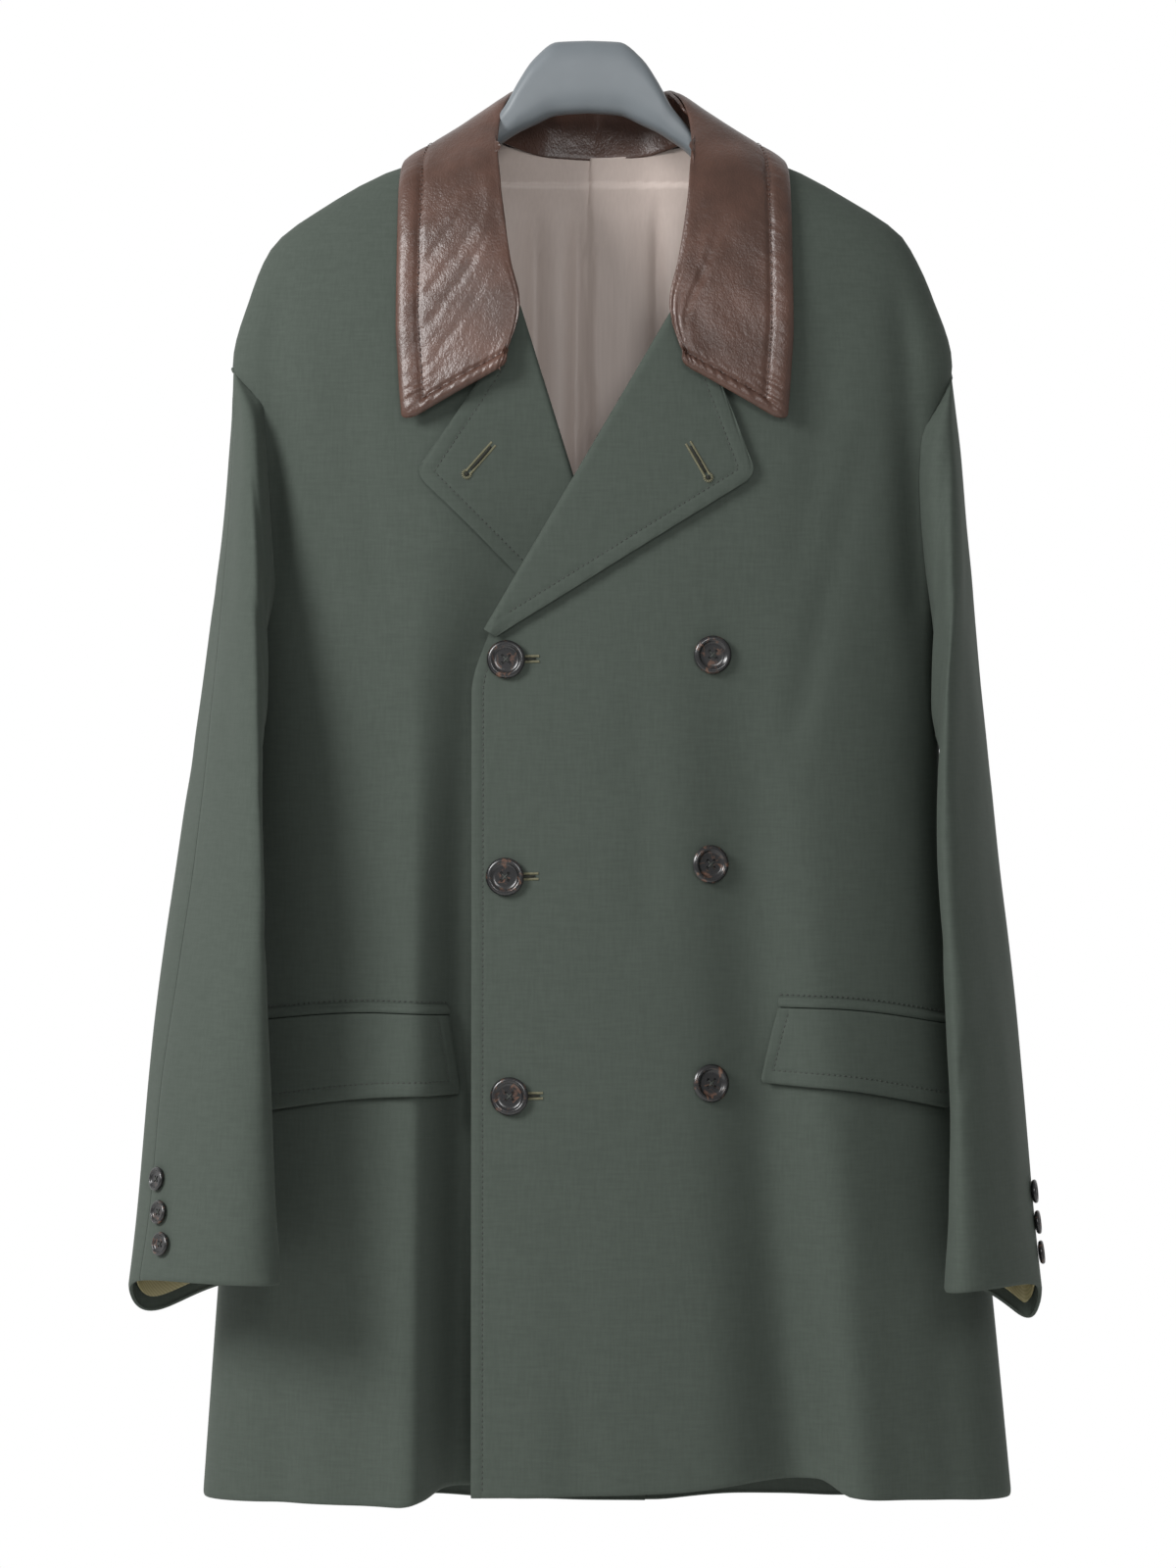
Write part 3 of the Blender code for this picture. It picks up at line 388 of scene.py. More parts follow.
# The fronts: two panels of loden that lap in the middle. The wearer's left one lies on top, and its edge is
# turned in over a facing and stitched down 7 mm in, so that it swells a little beside the stitches.
FRONT_STITCH = 0.0070
EDGE_BAND = 0.0140
EDGE_INSETS = (
    0.0120, 0.0100, 0.0088, 0.0078, 0.0070, 0.0062, 0.0052, 0.0040, 0.0028, 0.0018, 0.0009, 0.0003, 0.0,
)
UNDER_EDGE_INSETS = (0.008, 0.003, 0.001, 0)
EDGE_STITCHED_FROM_Z = -0.372
EDGE_STITCHED_FADE = 0.02
EDGE_STITCH_START = 0.010
EDGE_STITCH_STOP = 0.004
FRONT_LEFT_SEED = 1
FRONT_RIGHT_SEED = 2

# A turned edge: how far it swells, the depth and width of the groove at its stitches, and how far and over
# what width it rounds off at the rim
EDGE_SWELL = 0.0002
EDGE_GROOVE = 0.0003
EDGE_GROOVE_WIDTH = 0.0010
EDGE_TURN = 0.0008
EDGE_ROUND = 0.0022

# The stitches, drawn at more than twice the thickness of the real thread, so that they show
STITCH_PITCH = 0.0034
STITCH_LENGTH = 0.0022
STITCH_THICK = 0.0010
STITCH_SINK = 0.0004

# Where each front ends towards the middle: neckline, roll line of the lapel, then front edge
Edge = namedtuple("Edge", "z x")
FRONT_LEFT_EDGE = (
    Edge(-0.058, 0.073), Edge(-0.110, 0.069), Edge(-0.172, 0.0535), Edge(-0.270, -0.004),
    Edge(-0.366, -0.0600), Edge(-0.400, -0.0700), Edge(-0.905, -0.0705),
)
FRONT_RIGHT_EDGE = (
    Edge(-0.058, -0.066), Edge(-0.110, -0.062), Edge(-0.177, -0.0415), Edge(-0.276, -0.0100),
    Edge(-0.393, 0.0260), Edge(-0.430, 0.0330), Edge(-0.905, 0.0480),
)
FRONT_RIGHT_HEM = (
    Hem(-0.238, -0.8910), Hem(-0.180, -0.8885), Hem(-0.115, -0.8880), Hem(-0.098, -0.8850),
    Hem(-0.085, -0.8800), Hem(0.060, -0.8800),
)
FRONT_LEFT_HEM = (
    Hem(-0.073, -0.8832), Hem(0.050, -0.8800), Hem(0.118, -0.8745), Hem(0.138, -0.8745),
    Hem(0.158, -0.8840), Hem(0.200, -0.8870), Hem(0.262, -0.8910),
)
FRONT_RIGHT_FOLDS = (
    Fold(-0.192, -0.130, -0.192, -0.300, 0.014, 0.002, 0.006),
    Fold(-0.150, -0.420, -0.150, -0.900, 0.060, 0.000, -0.006),
    Fold(-0.107, -0.420, -0.109, -0.900, 0.022, 0.000, -0.012),
    Fold(-0.165, -0.300, -0.120, -0.430, 0.012, 0.001, 0.0018),
    Fold(-0.150, -0.200, -0.128, -0.330, 0.016, 0.0012, 0.0015),
    Fold(-0.180, -0.660, -0.186, -0.900, 0.014, 0.000, 0.003),
)
FRONT_LEFT_FOLDS = (
    Fold(0.190, -0.150, 0.203, -0.330, 0.014, 0.003, 0.008),
    Fold(0.084, -0.330, 0.130, -0.900, 0.038, 0.002, 0.026),
    Fold(0.118, -0.420, 0.163, -0.900, 0.030, 0.000, -0.013),
    Fold(0.000, -0.420, -0.020, -0.900, 0.070, 0.000, -0.004),
    Fold(0.165, -0.250, 0.130, -0.400, 0.013, 0.001, 0.002),
    Fold(0.150, -0.170, 0.132, -0.300, 0.016, 0.0012, 0.0015),
    Fold(0.030, -0.400, 0.034, -0.520, 0.016, 0.0008, 0.0014),
    Fold(-0.012, -0.660, -0.006, -0.900, 0.022, 0.000, 0.0028),
    Fold(0.205, -0.660, 0.222, -0.900, 0.016, 0.000, 0.003),
)

# How far the under front lies behind the top front, and where across it starts and stops sinking
Under = namedtuple("Under", "z depth from_x to_x")
UNDERLAP = (
    Under(-0.100, 0.0000, -0.100, -0.010), Under(-0.180, 0.0040, -0.100, -0.010),
    Under(-0.270, 0.0130, -0.100, -0.012), Under(-0.330, 0.0155, -0.103, -0.040),
    Under(-0.400, 0.0180, -0.106, -0.066), Under(-0.600, 0.0240, -0.106, -0.075),
    Under(-0.905, 0.0360, -0.106, -0.076),
)


def front_y(x, z):
    section = between(BODY, z)
    return section.side_y - SEAM / 2 - (section.side_y - section.front_y) * section_reach(x, section)


def front_left_y(x, z):
    folds = fold_depth(FRONT_LEFT_FOLDS, x, z) + uneven(x, z, FRONT_LEFT_SEED)
    return front_y(x, z) + folds * side_fade(x, between(BODY, z))


def front_right_y(x, z):
    under = between(UNDERLAP, z)
    sunk = under.depth * ramp(x, under.from_x, under.to_x)
    folds = fold_depth(FRONT_RIGHT_FOLDS, x, z) + uneven(x, z, FRONT_RIGHT_SEED)
    return front_y(x, z) + sunk + folds * side_fade(x, between(BODY, z))


def front_left_edge(z):
    return between(FRONT_LEFT_EDGE, z).x


def front_right_edge(z):
    return between(FRONT_RIGHT_EDGE, z).x


def front_neck_z(_):
    return NECK_Z


def stitched_border(gap, stitch_at):
    """The relief of a turned edge at a gap from it: swollen up to the stitches, which draw the cloth in."""
    swell = EDGE_SWELL * math.sin(math.pi * min(gap / stitch_at, 1))
    groove = -EDGE_GROOVE * math.exp(-((gap - stitch_at) / EDGE_GROOVE_WIDTH) ** 2)
    return swell + groove - EDGE_TURN * max(0, 1 - gap / EDGE_ROUND) ** 2


def front_border(co, inset):
    """The left front's edge is stitched below its lapel."""
    stitched = ramp(co.z, EDGE_STITCHED_FROM_Z, EDGE_STITCHED_FROM_Z - EDGE_STITCHED_FADE)
    return stitched * stitched_border(inset, FRONT_STITCH)


def lying_on(surface_y, x, z, lift):
    """A point that lies off a front by the lift, and the direction out of the front there."""
    step = 0.0008
    slope_x = (surface_y(x + step, z) - surface_y(x - step, z)) / (2 * step)
    slope_z = (surface_y(x, z + step) - surface_y(x, z - step)) / (2 * step)
    out = Vector((slope_x, -1, slope_z)).normalized()
    return Vector((x, surface_y(x, z), z)) + lift * out, out


def sew(bm, path, pitch=STITCH_PITCH, length=STITCH_LENGTH, thick=STITCH_THICK):
    """Stitches along a path of points and directions out of the cloth: short threads with rounded ends."""
    ends = [0.0]
    for (a, _), (b, _) in zip(path, path[1:]):
        ends.append(ends[-1] + (b - a).length)
    count = max(1, round(ends[-1] / pitch))
    for number in range(count):
        way = (number + 0.5) * ends[-1] / count
        at = min(bisect_right(ends, way) - 1, len(path) - 2)
        (a, out), (b, _) = path[at], path[at + 1]
        place = a.lerp(b, (way - ends[at]) / (ends[at + 1] - ends[at]))
        along = (b - a).normalized()
        across = out.cross(along).normalized()
        turn = Matrix((along, across, along.cross(across))).transposed().to_4x4()
        form = Matrix.Translation(place) @ turn @ Matrix.Diagonal((length, thick, thick, 1))
        bmesh.ops.create_uvsphere(bm, u_segments=6, v_segments=5, radius=0.5, matrix=form)


# Sewing thread: polyester of 0.4 mm in the coat's own colour, with a faint gloss from its smooth filament
thread = new_material("sewing_thread_green")
add_node(thread, "Principled BSDF", Base_Color=linear("#20251f"), Roughness=0.60, IOR=1.57)

front_right = add_panel(
    "loden_front_right", "front_right", -1, -1, front_right_y, front_right_edge, front_neck_z,
    FRONT_RIGHT_HEM, panel_rows(18, 36, 80),
    [(place, EDGE_BAND) for place in spread((0.10, 8, 1.6), (0.42, 20, 1), (0.60, 24, 1), (1, 18, 1))]
    + [(1, inset) for inset in UNDER_EDGE_INSETS],
)
front_left = add_panel(
    "loden_front_left", "front_left", 1, -1, front_left_y, front_left_edge, front_neck_z, FRONT_LEFT_HEM,
    panel_rows(18, 36, 90),
    [(place, EDGE_BAND) for place in spread((0.10, 8, 1.6), (0.60, 42, 1), (1, 26, 1))]
    + [(1, inset) for inset in EDGE_INSETS],
    front_border,
)
bm = bmesh.new()
edge_path = []
for place in spread((1, 160, 1)):
    z = mix(EDGE_STITCHED_FROM_Z - EDGE_STITCH_START, FRONT_LEFT_HEM[0].z + EDGE_STITCH_STOP, place)
    edge_path.append(lying_on(front_left_y, front_left_edge(z) + FRONT_STITCH, z, -STITCH_SINK))
sew(bm, edge_path)
edge_stitches = add_piece("front_edge_stitches", bm, thread)

# The lapels: the upper ends of the fronts, turned back along the roll line over a facing and pressed soft.
# Their edges are stitched 8.5 mm in like the front edge, and the tips are rounded.
LAPEL_ROLL = 0.0032
LAPEL_LIFT = 0.0028
LAPEL_STITCH = 0.0085
LAPEL_TIP_SOFT = 0.030
LAPEL_TIP_STEPS = 3
LAPEL_STITCHED = slice(6, -4)
LAPEL_GAP_HALVINGS = 14

# A worked buttonhole: its threads, half the width of its slit, and the width over both lips
HOLE_PITCH = 0.0007
HOLE_THREAD = 0.0008
HOLE_SLIT = 0.0007
# The thickness of the dark filling in the slit, which is painted shadow
SLIT_SHADOW_THICK = 3 * HOLE_SLIT
LAPEL_HOLE_WIDTH = 0.0048
LAPEL_HOLE_LIFT = 0.0056

# The eye at a buttonhole's end, in shares of the width: how far it lies past the slit, its opening, which is
# filled with painted shadow, and the ends of the threads round it, which stand up to an angle to each side
EYE_AWAY = 0.30
EYE_OPENING = 0.50
EYE_INNER = 0.28
EYE_OUTER = 0.72
EYE_THREADS = 12
EYE_ANGLE = 145

# A lapel's corners on its front: the roll line's lower and upper ends, its tip, and its ends below and above
Lapel = namedtuple("Lapel", "low_x low_z top_x top_z tip_x tip_z under_x under_z over_x over_z tip_at")
LAPEL_LEFT = Lapel(
    -0.0590, -0.3640, 0.0580, -0.1640, 0.1010, -0.2690, -0.0550, -0.3665, 0.0720, -0.1930, 0.66,
)
LAPEL_RIGHT = Lapel(
    0.0240, -0.3860, -0.0445, -0.1680, -0.1035, -0.2680, 0.0190, -0.3900, -0.0580, -0.2000, 0.60,
)


def lapel_edge(lapel, along):
    """A point on a lapel's free edge, from its lower end round its softened tip to its upper end."""
    low = Vector((lapel.under_x, lapel.under_z))
    tip = Vector((lapel.tip_x, lapel.tip_z))
    over = Vector((lapel.over_x, lapel.over_z))
    reach = min(LAPEL_TIP_SOFT, along, 1 - along)
    total = Vector((0, 0))
    for step in range(-LAPEL_TIP_STEPS, LAPEL_TIP_STEPS + 1):
        place = along + reach * step / LAPEL_TIP_STEPS
        if place <= lapel.tip_at:
            total += low.lerp(tip, place / lapel.tip_at)
        else:
            total += tip.lerp(over, (place - lapel.tip_at) / (1 - lapel.tip_at))
    return total / (2 * LAPEL_TIP_STEPS + 1)


def lapel_point(lapel, side, surface_y, along, across):
    """A point of a lapel and the direction out of it: across is under 0 round the roll, and 1 at the edge."""
    roll_low, roll_top = Vector((lapel.low_x, lapel.low_z)), Vector((lapel.top_x, lapel.top_z))
    line = (roll_top - roll_low).normalized()
    beyond = Vector((-line.y, line.x)) * side
    roll = roll_low.lerp(roll_top, along)
    if across < 0:
        angle = math.pi * (1 + across)
        base, out = lying_on(surface_y, roll.x, roll.y, LAPEL_ROLL * (1 - math.cos(angle)))
        away = beyond * (2 * SEAM + LAPEL_ROLL * math.sin(angle))
        return base + Vector((away.x, 0, away.y)), out
    place = roll.lerp(lapel_edge(lapel, along), across)
    lift = mix(2 * LAPEL_ROLL, CLOTH + LAPEL_LIFT, ramp(across, 0, 1))
    return lying_on(surface_y, place.x, place.y, lift)


def edge_gap(rim, co):
    """How far a point is from a rim, seen from the front."""
    return min(math.hypot(co.x - place.x, co.z - place.y) for place in rim)


def halve_to(low, high, is_short, halvings):
    """Where between low and high a place is no longer short, by halving."""
    for _ in range(halvings):
        middle = (low + high) / 2
        if is_short(middle):
            low = middle
        else:
            high = middle
    return middle


def across_at_gap(lapel, side, surface_y, rim, along, gap):
    """Where across a lapel a row comes to a gap from the rim."""
    def is_short(across):
        return edge_gap(rim, lapel_point(lapel, side, surface_y, along, across)[0]) > gap

    return halve_to(0.0, 1.0, is_short, LAPEL_GAP_HALVINGS)


def sew_buttonhole(bm, painted_shadow_fillings, start, end, out, width):
    """A worked buttonhole: threads laid close across both lips of the slit, and a round eye at its end. The
    slit and the eye's opening are filled dark as painted shadow."""
    along = (end - start).normalized()
    across = out.cross(along).normalized()
    count = int((end - start).length / HOLE_PITCH)
    for number in range(count + 1):
        place = start.lerp(end, number / count)
        for lip in (-1, 1):
            near, far = place + across * lip * HOLE_SLIT, place + across * lip * width / 2
            sew(bm, [(near, out), (far, out)], width, width / 2 - HOLE_SLIT, HOLE_THREAD)
    eye = end + along * width * EYE_AWAY
    for number in range(EYE_THREADS + 1):
        turn = math.radians(mix(-EYE_ANGLE, EYE_ANGLE, number / EYE_THREADS))
        way = along * math.cos(turn) + across * math.sin(turn)
        ends = [(eye + way * width * share, out) for share in (EYE_INNER, EYE_OUTER)]
        sew(bm, ends, width, width * (EYE_OUTER - EYE_INNER), HOLE_THREAD)
    # The slit and the eye's opening get dark fillings: painted shadow where the cloth between the threads
    # lies in shade
    run = (end - start).length
    sew(painted_shadow_fillings, [(start, out), (end, out)], run, run, SLIT_SHADOW_THICK)
    ends = [(eye + along * width * share, out) for share in (-EYE_AWAY, EYE_AWAY)]
    sew(painted_shadow_fillings, ends, width, width * 2 * EYE_AWAY, width * EYE_OPENING)


# Buttonhole twist: silky thread of 0.5 mm, drawn at 0.8 mm, olive, a little lighter than the cloth
twist = new_material("buttonhole_twist_olive")
add_node(twist, "Principled BSDF", Base_Color=linear("#625f47"), Roughness=0.50, IOR=1.55)
# The slit and the eye's opening: painted shadow, a dark filling where the cut cloth lies in shade between the
# lips
slit_shadow = new_material("dark_slit_wool")
add_node(slit_shadow, "Principled BSDF", Base_Color=linear("#15170f"), Roughness=0.95, IOR=1.55)
painted_shadow_fillings = bmesh.new()

# The lapels' buttonholes: their upper and lower ends on the front
Hole = namedtuple("Hole", "upper_x upper_z lower_x lower_z")
HOLE_LEFT = Hole(0.0599, -0.2504, 0.0710, -0.2697)
HOLE_RIGHT = Hole(-0.0576, -0.2504, -0.0725, -0.2676)

for word, lapel, hole, side, surface_y in (
    ("left", LAPEL_LEFT, HOLE_LEFT, 1, front_left_y), ("right", LAPEL_RIGHT, HOLE_RIGHT, -1, front_right_y),
):
    alongs = spread((lapel.tip_at, 48, 1), (1, 28, 1))
    acrosses = [place - 1 for place in spread((1, 8, 1))] + spread((0.80, 20, 1), (1, 16, 1))[1:]
    rim = [lapel_edge(lapel, place) for place in spread((1, 90, 1))]
    bm, places = laid_grid(
        len(alongs) - 1, len(acrosses) - 1,
        lambda row, column: lapel_point(lapel, side, surface_y, alongs[row], acrosses[column])[0],
        side > 0,
    )
    raise_cloth(
        bm, places,
        lambda co, _, column: stitched_border(edge_gap(rim, co), LAPEL_STITCH) if acrosses[column] > 0 else 0,
    )
    piece = add_piece(f"loden_lapel_{word}", bm, loden, (f"lapel_{word}",), CLOTH)
    bm = bmesh.new()
    path = []
    for along in spread((1, 90, 1))[LAPEL_STITCHED]:
        across = across_at_gap(lapel, side, surface_y, rim, along, LAPEL_STITCH)
        point, out = lapel_point(lapel, side, surface_y, along, across)
        path.append((point - out * STITCH_SINK, out))
    sew(bm, path)
    stitches = add_piece(f"lapel_{word}_stitches", bm, thread)
    bm = bmesh.new()
    start, _ = lying_on(surface_y, hole.upper_x, hole.upper_z, LAPEL_HOLE_LIFT)
    end, out = lying_on(surface_y, hole.lower_x, hole.lower_z, LAPEL_HOLE_LIFT)
    sew_buttonhole(bm, painted_shadow_fillings, start, end, out, LAPEL_HOLE_WIDTH)
    worked = add_piece(f"lapel_{word}_buttonhole", bm, twist)

# The sleeves: a top and an under piece of loden each, sewn to a tube and set into the armhole, where the head
# rolls a little. They hang free, with soft cross creases under the arm and at the elbow.
SLEEVE_CLEARANCE = 0.0022
ARMHOLE_TUCK = 0.0010
ARMHOLE_SINK = 0.0010
SEAM_STEP = 180 / 7
SLEEVE_TRIM = 0.35
SLEEVE_LENGTH = 0.56
SLEEVE_RADIUS = 0.050
SLEEVE_WAVER = 0.0008
SLEEVE_WAVES_DOWN = 9
SLEEVE_WAVES_ROUND = 2
PLACE_STEP = 0.02
ANGLE_STEP = 5

# The sleeve's head is eased in passes; each ends two rows further up, so that the easing fades out downwards
HEAD_EASED_TO_ROW = range(76, 28, -2)

# A cuff's edge is lifted all round but for a dip: its angle and width in degrees, and its depth in lifts
DIP_ANGLE = 282
DIP_WIDTH = 50
DIP_SHARE = 2.0

# A sleeve's rings: how far down it, the reach of its outer and inner side, its middle and half its depth, the
# slant of its section in degrees, and its lift
Ring = namedtuple("Ring", "place outer_x outer_z inner_x inner_z middle_y half_y slant lift")
SLEEVE_RIGHT = (
    Ring(0.10, -0.2200, -0.222, -0.1925, -0.418, -0.013, 0.047, 50, 0.0000),
    Ring(0.20, -0.2235, -0.262, -0.1930, -0.430, -0.021, 0.052, 58, 0.0000),
    Ring(0.30, -0.2290, -0.310, -0.1935, -0.446, -0.030, 0.055, 63, 0.0000),
    Ring(0.40, -0.2350, -0.362, -0.1935, -0.470, -0.041, 0.056, 65, 0.0000),
    Ring(0.50, -0.2430, -0.425, -0.1925, -0.505, -0.049, 0.055, 65, 0.0000),
    Ring(0.60, -0.2520, -0.495, -0.1910, -0.550, -0.057, 0.053, 61, 0.0000),
    Ring(0.70, -0.2600, -0.565, -0.1895, -0.605, -0.064, 0.051, 54, 0.0010),
    Ring(0.80, -0.2665, -0.635, -0.1870, -0.660, -0.070, 0.049, 44, 0.0030),
    Ring(0.90, -0.2710, -0.703, -0.1845, -0.715, -0.076, 0.047, 40, 0.0070),
    Ring(1.00, -0.2770, -0.761, -0.1815, -0.763, -0.081, 0.046, 36, 0.0120),
)
SLEEVE_LEFT = (
    Ring(0.10, 0.2260, -0.222, 0.2070, -0.418, -0.011, 0.043, 36, 0.0000),
    Ring(0.20, 0.2305, -0.262, 0.2100, -0.430, -0.019, 0.050, 44, 0.0000),
    Ring(0.30, 0.2350, -0.310, 0.2110, -0.446, -0.028, 0.055, 50, 0.0000),
    Ring(0.40, 0.2390, -0.362, 0.2085, -0.470, -0.037, 0.058, 54, 0.0000),
    Ring(0.50, 0.2450, -0.425, 0.2075, -0.505, -0.0435, 0.0595, 56, 0.0000),
    Ring(0.60, 0.2520, -0.495, 0.2095, -0.550, -0.049, 0.059, 56, 0.0000),
    Ring(0.70, 0.2590, -0.565, 0.2125, -0.605, -0.055, 0.058, 55, 0.0010),
    Ring(0.80, 0.2650, -0.635, 0.2145, -0.660, -0.061, 0.056, 52, 0.0030),
    Ring(0.90, 0.2695, -0.705, 0.2135, -0.717, -0.067, 0.054, 46, 0.0070),
    Ring(1.00, 0.2750, -0.765, 0.2110, -0.769, -0.072, 0.053, 40, 0.0130),
)

# Creases across a sleeve, between two places and angles, with half their width and their depth
Crease = namedtuple("Crease", "place angle to_place to_angle half_width depth")
CREASE_FADE_IN = (-0.1, 0.3)
CREASE_FADE_OUT = (1.1, 0.7)
SLEEVE_CREASES = (
    Crease(0.20, 150, 0.30, 40, 0.016, 0.0006), Crease(0.30, 165, 0.42, 70, 0.016, 0.0006),
    Crease(0.46, 120, 0.55, 20, 0.016, 0.0010), Crease(0.60, 150, 0.66, 50, 0.015, 0.0010),
    Crease(0.72, 30, 0.80, 110, 0.015, 0.0012), Crease(0.25, 220, 0.34, 320, 0.012, 0.0018),
    Crease(0.45, 210, 0.52, 320, 0.014, 0.0020), Crease(0.66, 220, 0.70, 300, 0.013, 0.0014),
)


def side_x(y, z, side):
    """How far the body's side reaches at a depth and level."""
    section = between(BODY, z)
    half = (section.left_x - section.right_x) / 2
    depth = section.front_y - section.side_y if y < section.side_y else section.back_y - section.side_y
    part = min(1, (y - section.side_y) / depth) ** (2 / FULLNESS)
    return (section.left_x + section.right_x) / 2 + side * half * math.sqrt(1 - part)


def sleeve_point(rings, side, place, angle):
    """A point of a sleeve. Place runs from 0 at the armhole to 1 at the cuff, angle from the outer side
    forward. Above the first ring the sleeve's head rounds over to the seam of the armhole."""
    turn = math.radians(angle)
    ring = between(rings, place)
    lean = math.radians(ring.slant)
    outer = (1 + math.cos(turn)) / 2
    from_dip = ((angle - DIP_ANGLE + 180) % 360 - 180) / DIP_WIDTH
    lift = ring.lift * (1 - DIP_SHARE * math.exp(-from_dip * from_dip))
    point = Vector((
        mix(ring.inner_x, ring.outer_x, (1 + math.cos(turn + lean)) / 2),
        ring.middle_y - ring.half_y * math.sin(turn),
        mix(ring.inner_z, ring.outer_z, outer) + lift,
    ))
    point.x = side * max(side * point.x, side * side_x(point.y, point.z, side) + SLEEVE_CLEARANCE)
    if place >= rings[0].place:
        return point
    z = mix(UNDERARM_Z, SHOULDER_Z, outer)
    x = armhole_x(z, side)
    y = front_y(x, z) + ARMHOLE_SINK if math.sin(turn) > 0 else back_y(x, z) - ARMHOLE_SINK
    seam = Vector((x - side * ARMHOLE_TUCK, y, z))
    share = place / rings[0].place
    rounded_y = mix(seam.y, point.y, math.sqrt(share * (2 - share)))
    point = seam.lerp(point, share)
    point.y = rounded_y
    return point


def sleeve_out(rings, side, place, angle):
    """The direction out of a sleeve at one of its points."""
    high, low = max(place - PLACE_STEP, 0), min(place + PLACE_STEP, 1)
    down = sleeve_point(rings, side, low, angle) - sleeve_point(rings, side, high, angle)
    before, after = (sleeve_point(rings, side, place, angle + step) for step in (-ANGLE_STEP, ANGLE_STEP))
    return (down.cross(after - before) * -side).normalized()


def on_sleeve(down, angle):
    """A way down and round a sleeve, laid flat."""
    return Vector((down * SLEEVE_LENGTH, math.radians(angle) * SLEEVE_RADIUS))


def along_crease(run, here):
    """How far along a crease a place is, as a share of its run, and how far it is from the crease."""
    share = here.dot(run) / run.length_squared
    return share, (here - run * share).length


def sleeve_relief(place, angle):
    """The relief of a sleeve's creases, its waver and the rounded edge of its cuff."""
    turn = math.radians(angle)
    around = math.cos(turn) * SLEEVE_WAVES_ROUND, math.sin(turn) * SLEEVE_WAVES_ROUND
    relief = SLEEVE_WAVER * noise.noise(Vector((place * SLEEVE_WAVES_DOWN, *around)))
    for crease in SLEEVE_CREASES:
        run = on_sleeve(crease.to_place - crease.place, crease.to_angle - crease.angle)
        share, away = along_crease(run, on_sleeve(place - crease.place, angle % 360 - crease.angle))
        off = away / crease.half_width
        fade = ramp(share, *CREASE_FADE_IN) * ramp(share, *CREASE_FADE_OUT)
        relief -= crease.depth * fade * math.exp(-FOLD_CRISPNESS * off * off)
    return relief - HEM_TURN * max(0, 1 - (1 - place) * SLEEVE_LENGTH / HEM_ROUND) ** 2


def ease(bm, verts):
    """Draws each vertex halfway to the middle of its neighbours."""
    bmesh.ops.smooth_vert(bm, verts=verts, factor=0.5, use_axis_x=True, use_axis_y=True, use_axis_z=True)


sleeve_places = spread((0.10, 16, 1), (0.985, 96, 1), (1, 6, 1))
# Each sleeve piece: between which of the 14 steps round the sleeve it runs, and its cut
SleevePiece = namedtuple("SleevePiece", "half start end cut_width cut_length cut_area")
RIGHT_PIECES = (
    SleevePiece("top", 0, 7, 0.140, 0.580, 0.062), SleevePiece("under", 7, 14, 0.140, 0.580, 0.062),
)
LEFT_PIECES = (
    SleevePiece("top", -2, 7, 0.190, 0.580, 0.086), SleevePiece("under", 7, 12, 0.085, 0.560, 0.036),
)
for word, rings, side, pieces in (
    ("right", SLEEVE_RIGHT, -1, RIGHT_PIECES), ("left", SLEEVE_LEFT, 1, LEFT_PIECES),
):
    for half, start, end, cut_width, cut_length, cut_area in pieces:
        first, last = start * SEAM_STEP + SLEEVE_TRIM, end * SEAM_STEP - SLEEVE_TRIM
        angles = [mix(first, last, part) for part in spread((1, 48, 1))]
        bm, places = laid_grid(
            len(sleeve_places) - 1, len(angles) - 1,
            lambda row, column: sleeve_point(rings, side, sleeve_places[row], angles[column]),
            side > 0,
        )
        inside = range(1, len(angles) - 1)
        for end_row in HEAD_EASED_TO_ROW:
            head = [vert for vert, (row, column) in places.items() if 0 < row < end_row and column in inside]
            ease(bm, head)
        raise_cloth(bm, places, lambda _, row, column: sleeve_relief(sleeve_places[row], angles[column]))
        piece = add_piece(
            f"loden_sleeve_{word}_{half}", bm, loden, (f"sleeve_{word}_{half}",), CLOTH,
        )

# The cuff linings: short tubes of olive twill inside the ends of the sleeves. On a real coat each is the end
# of the sleeve's lining, which is felled to the turned-up wool a little above the edge.
LINING = 0.0010
CUFF_LINING_GAP = 0.0019
CUFF_LINING_FROM = 0.88
CUFF_LINING_TO = 0.985
CUFF_LINING_ANGLES = (182, 538)

# Twill lining: viscose in a fine diagonal weave, pressed smooth, with a faint gloss along the ribs. Its ribs
# are 0.4 mm, too fine to show, so they are drawn at 1.2 mm. A wave texture of scale 1 has waves of 0.31.
TWILL_RIB = 0.0012
WAVE_AT_SCALE_1 = 0.31
twill = new_material("olive_twill_lining")
coords = add_node(twill, "TexCoord")["Object"]
ribs = add_node(
    twill, "TexWave", {"wave_type": "BANDS", "bands_direction": "DIAGONAL"}, Vector=coords,
    Scale=WAVE_AT_SCALE_1 / TWILL_RIB, Distortion=1.0,
)["Fac"]
woven = add_node(twill, "MixRGB", Fac=ribs, Color1=linear("#7d7551"), Color2=linear("#8f8763"))["Color"]
add_node(twill, "Principled BSDF", Base_Color=woven, Roughness=0.62, IOR=1.53)
cuff_places = [mix(CUFF_LINING_FROM, CUFF_LINING_TO, part) for part in spread((1, 10, 1))]
cuff_angles = [mix(*CUFF_LINING_ANGLES, part) for part in spread((1, 72, 1))]
for word, rings, side in (("right", SLEEVE_RIGHT, -1), ("left", SLEEVE_LEFT, 1)):
    def cuff_lining_point(row, column):
        """A point of the lining, inside the cloth of the sleeve."""
        at = rings, side, cuff_places[row], cuff_angles[column]
        return sleeve_point(*at) - sleeve_out(*at) * (CLOTH + CUFF_LINING_GAP)

    bm, _ = laid_grid(len(cuff_places) - 1, len(cuff_angles) - 1, cuff_lining_point, side > 0)
    piece = add_piece(
        f"cuff_lining_{word}_twill", bm, twill, (f"cuff_lining_{word}",), LINING,
    )

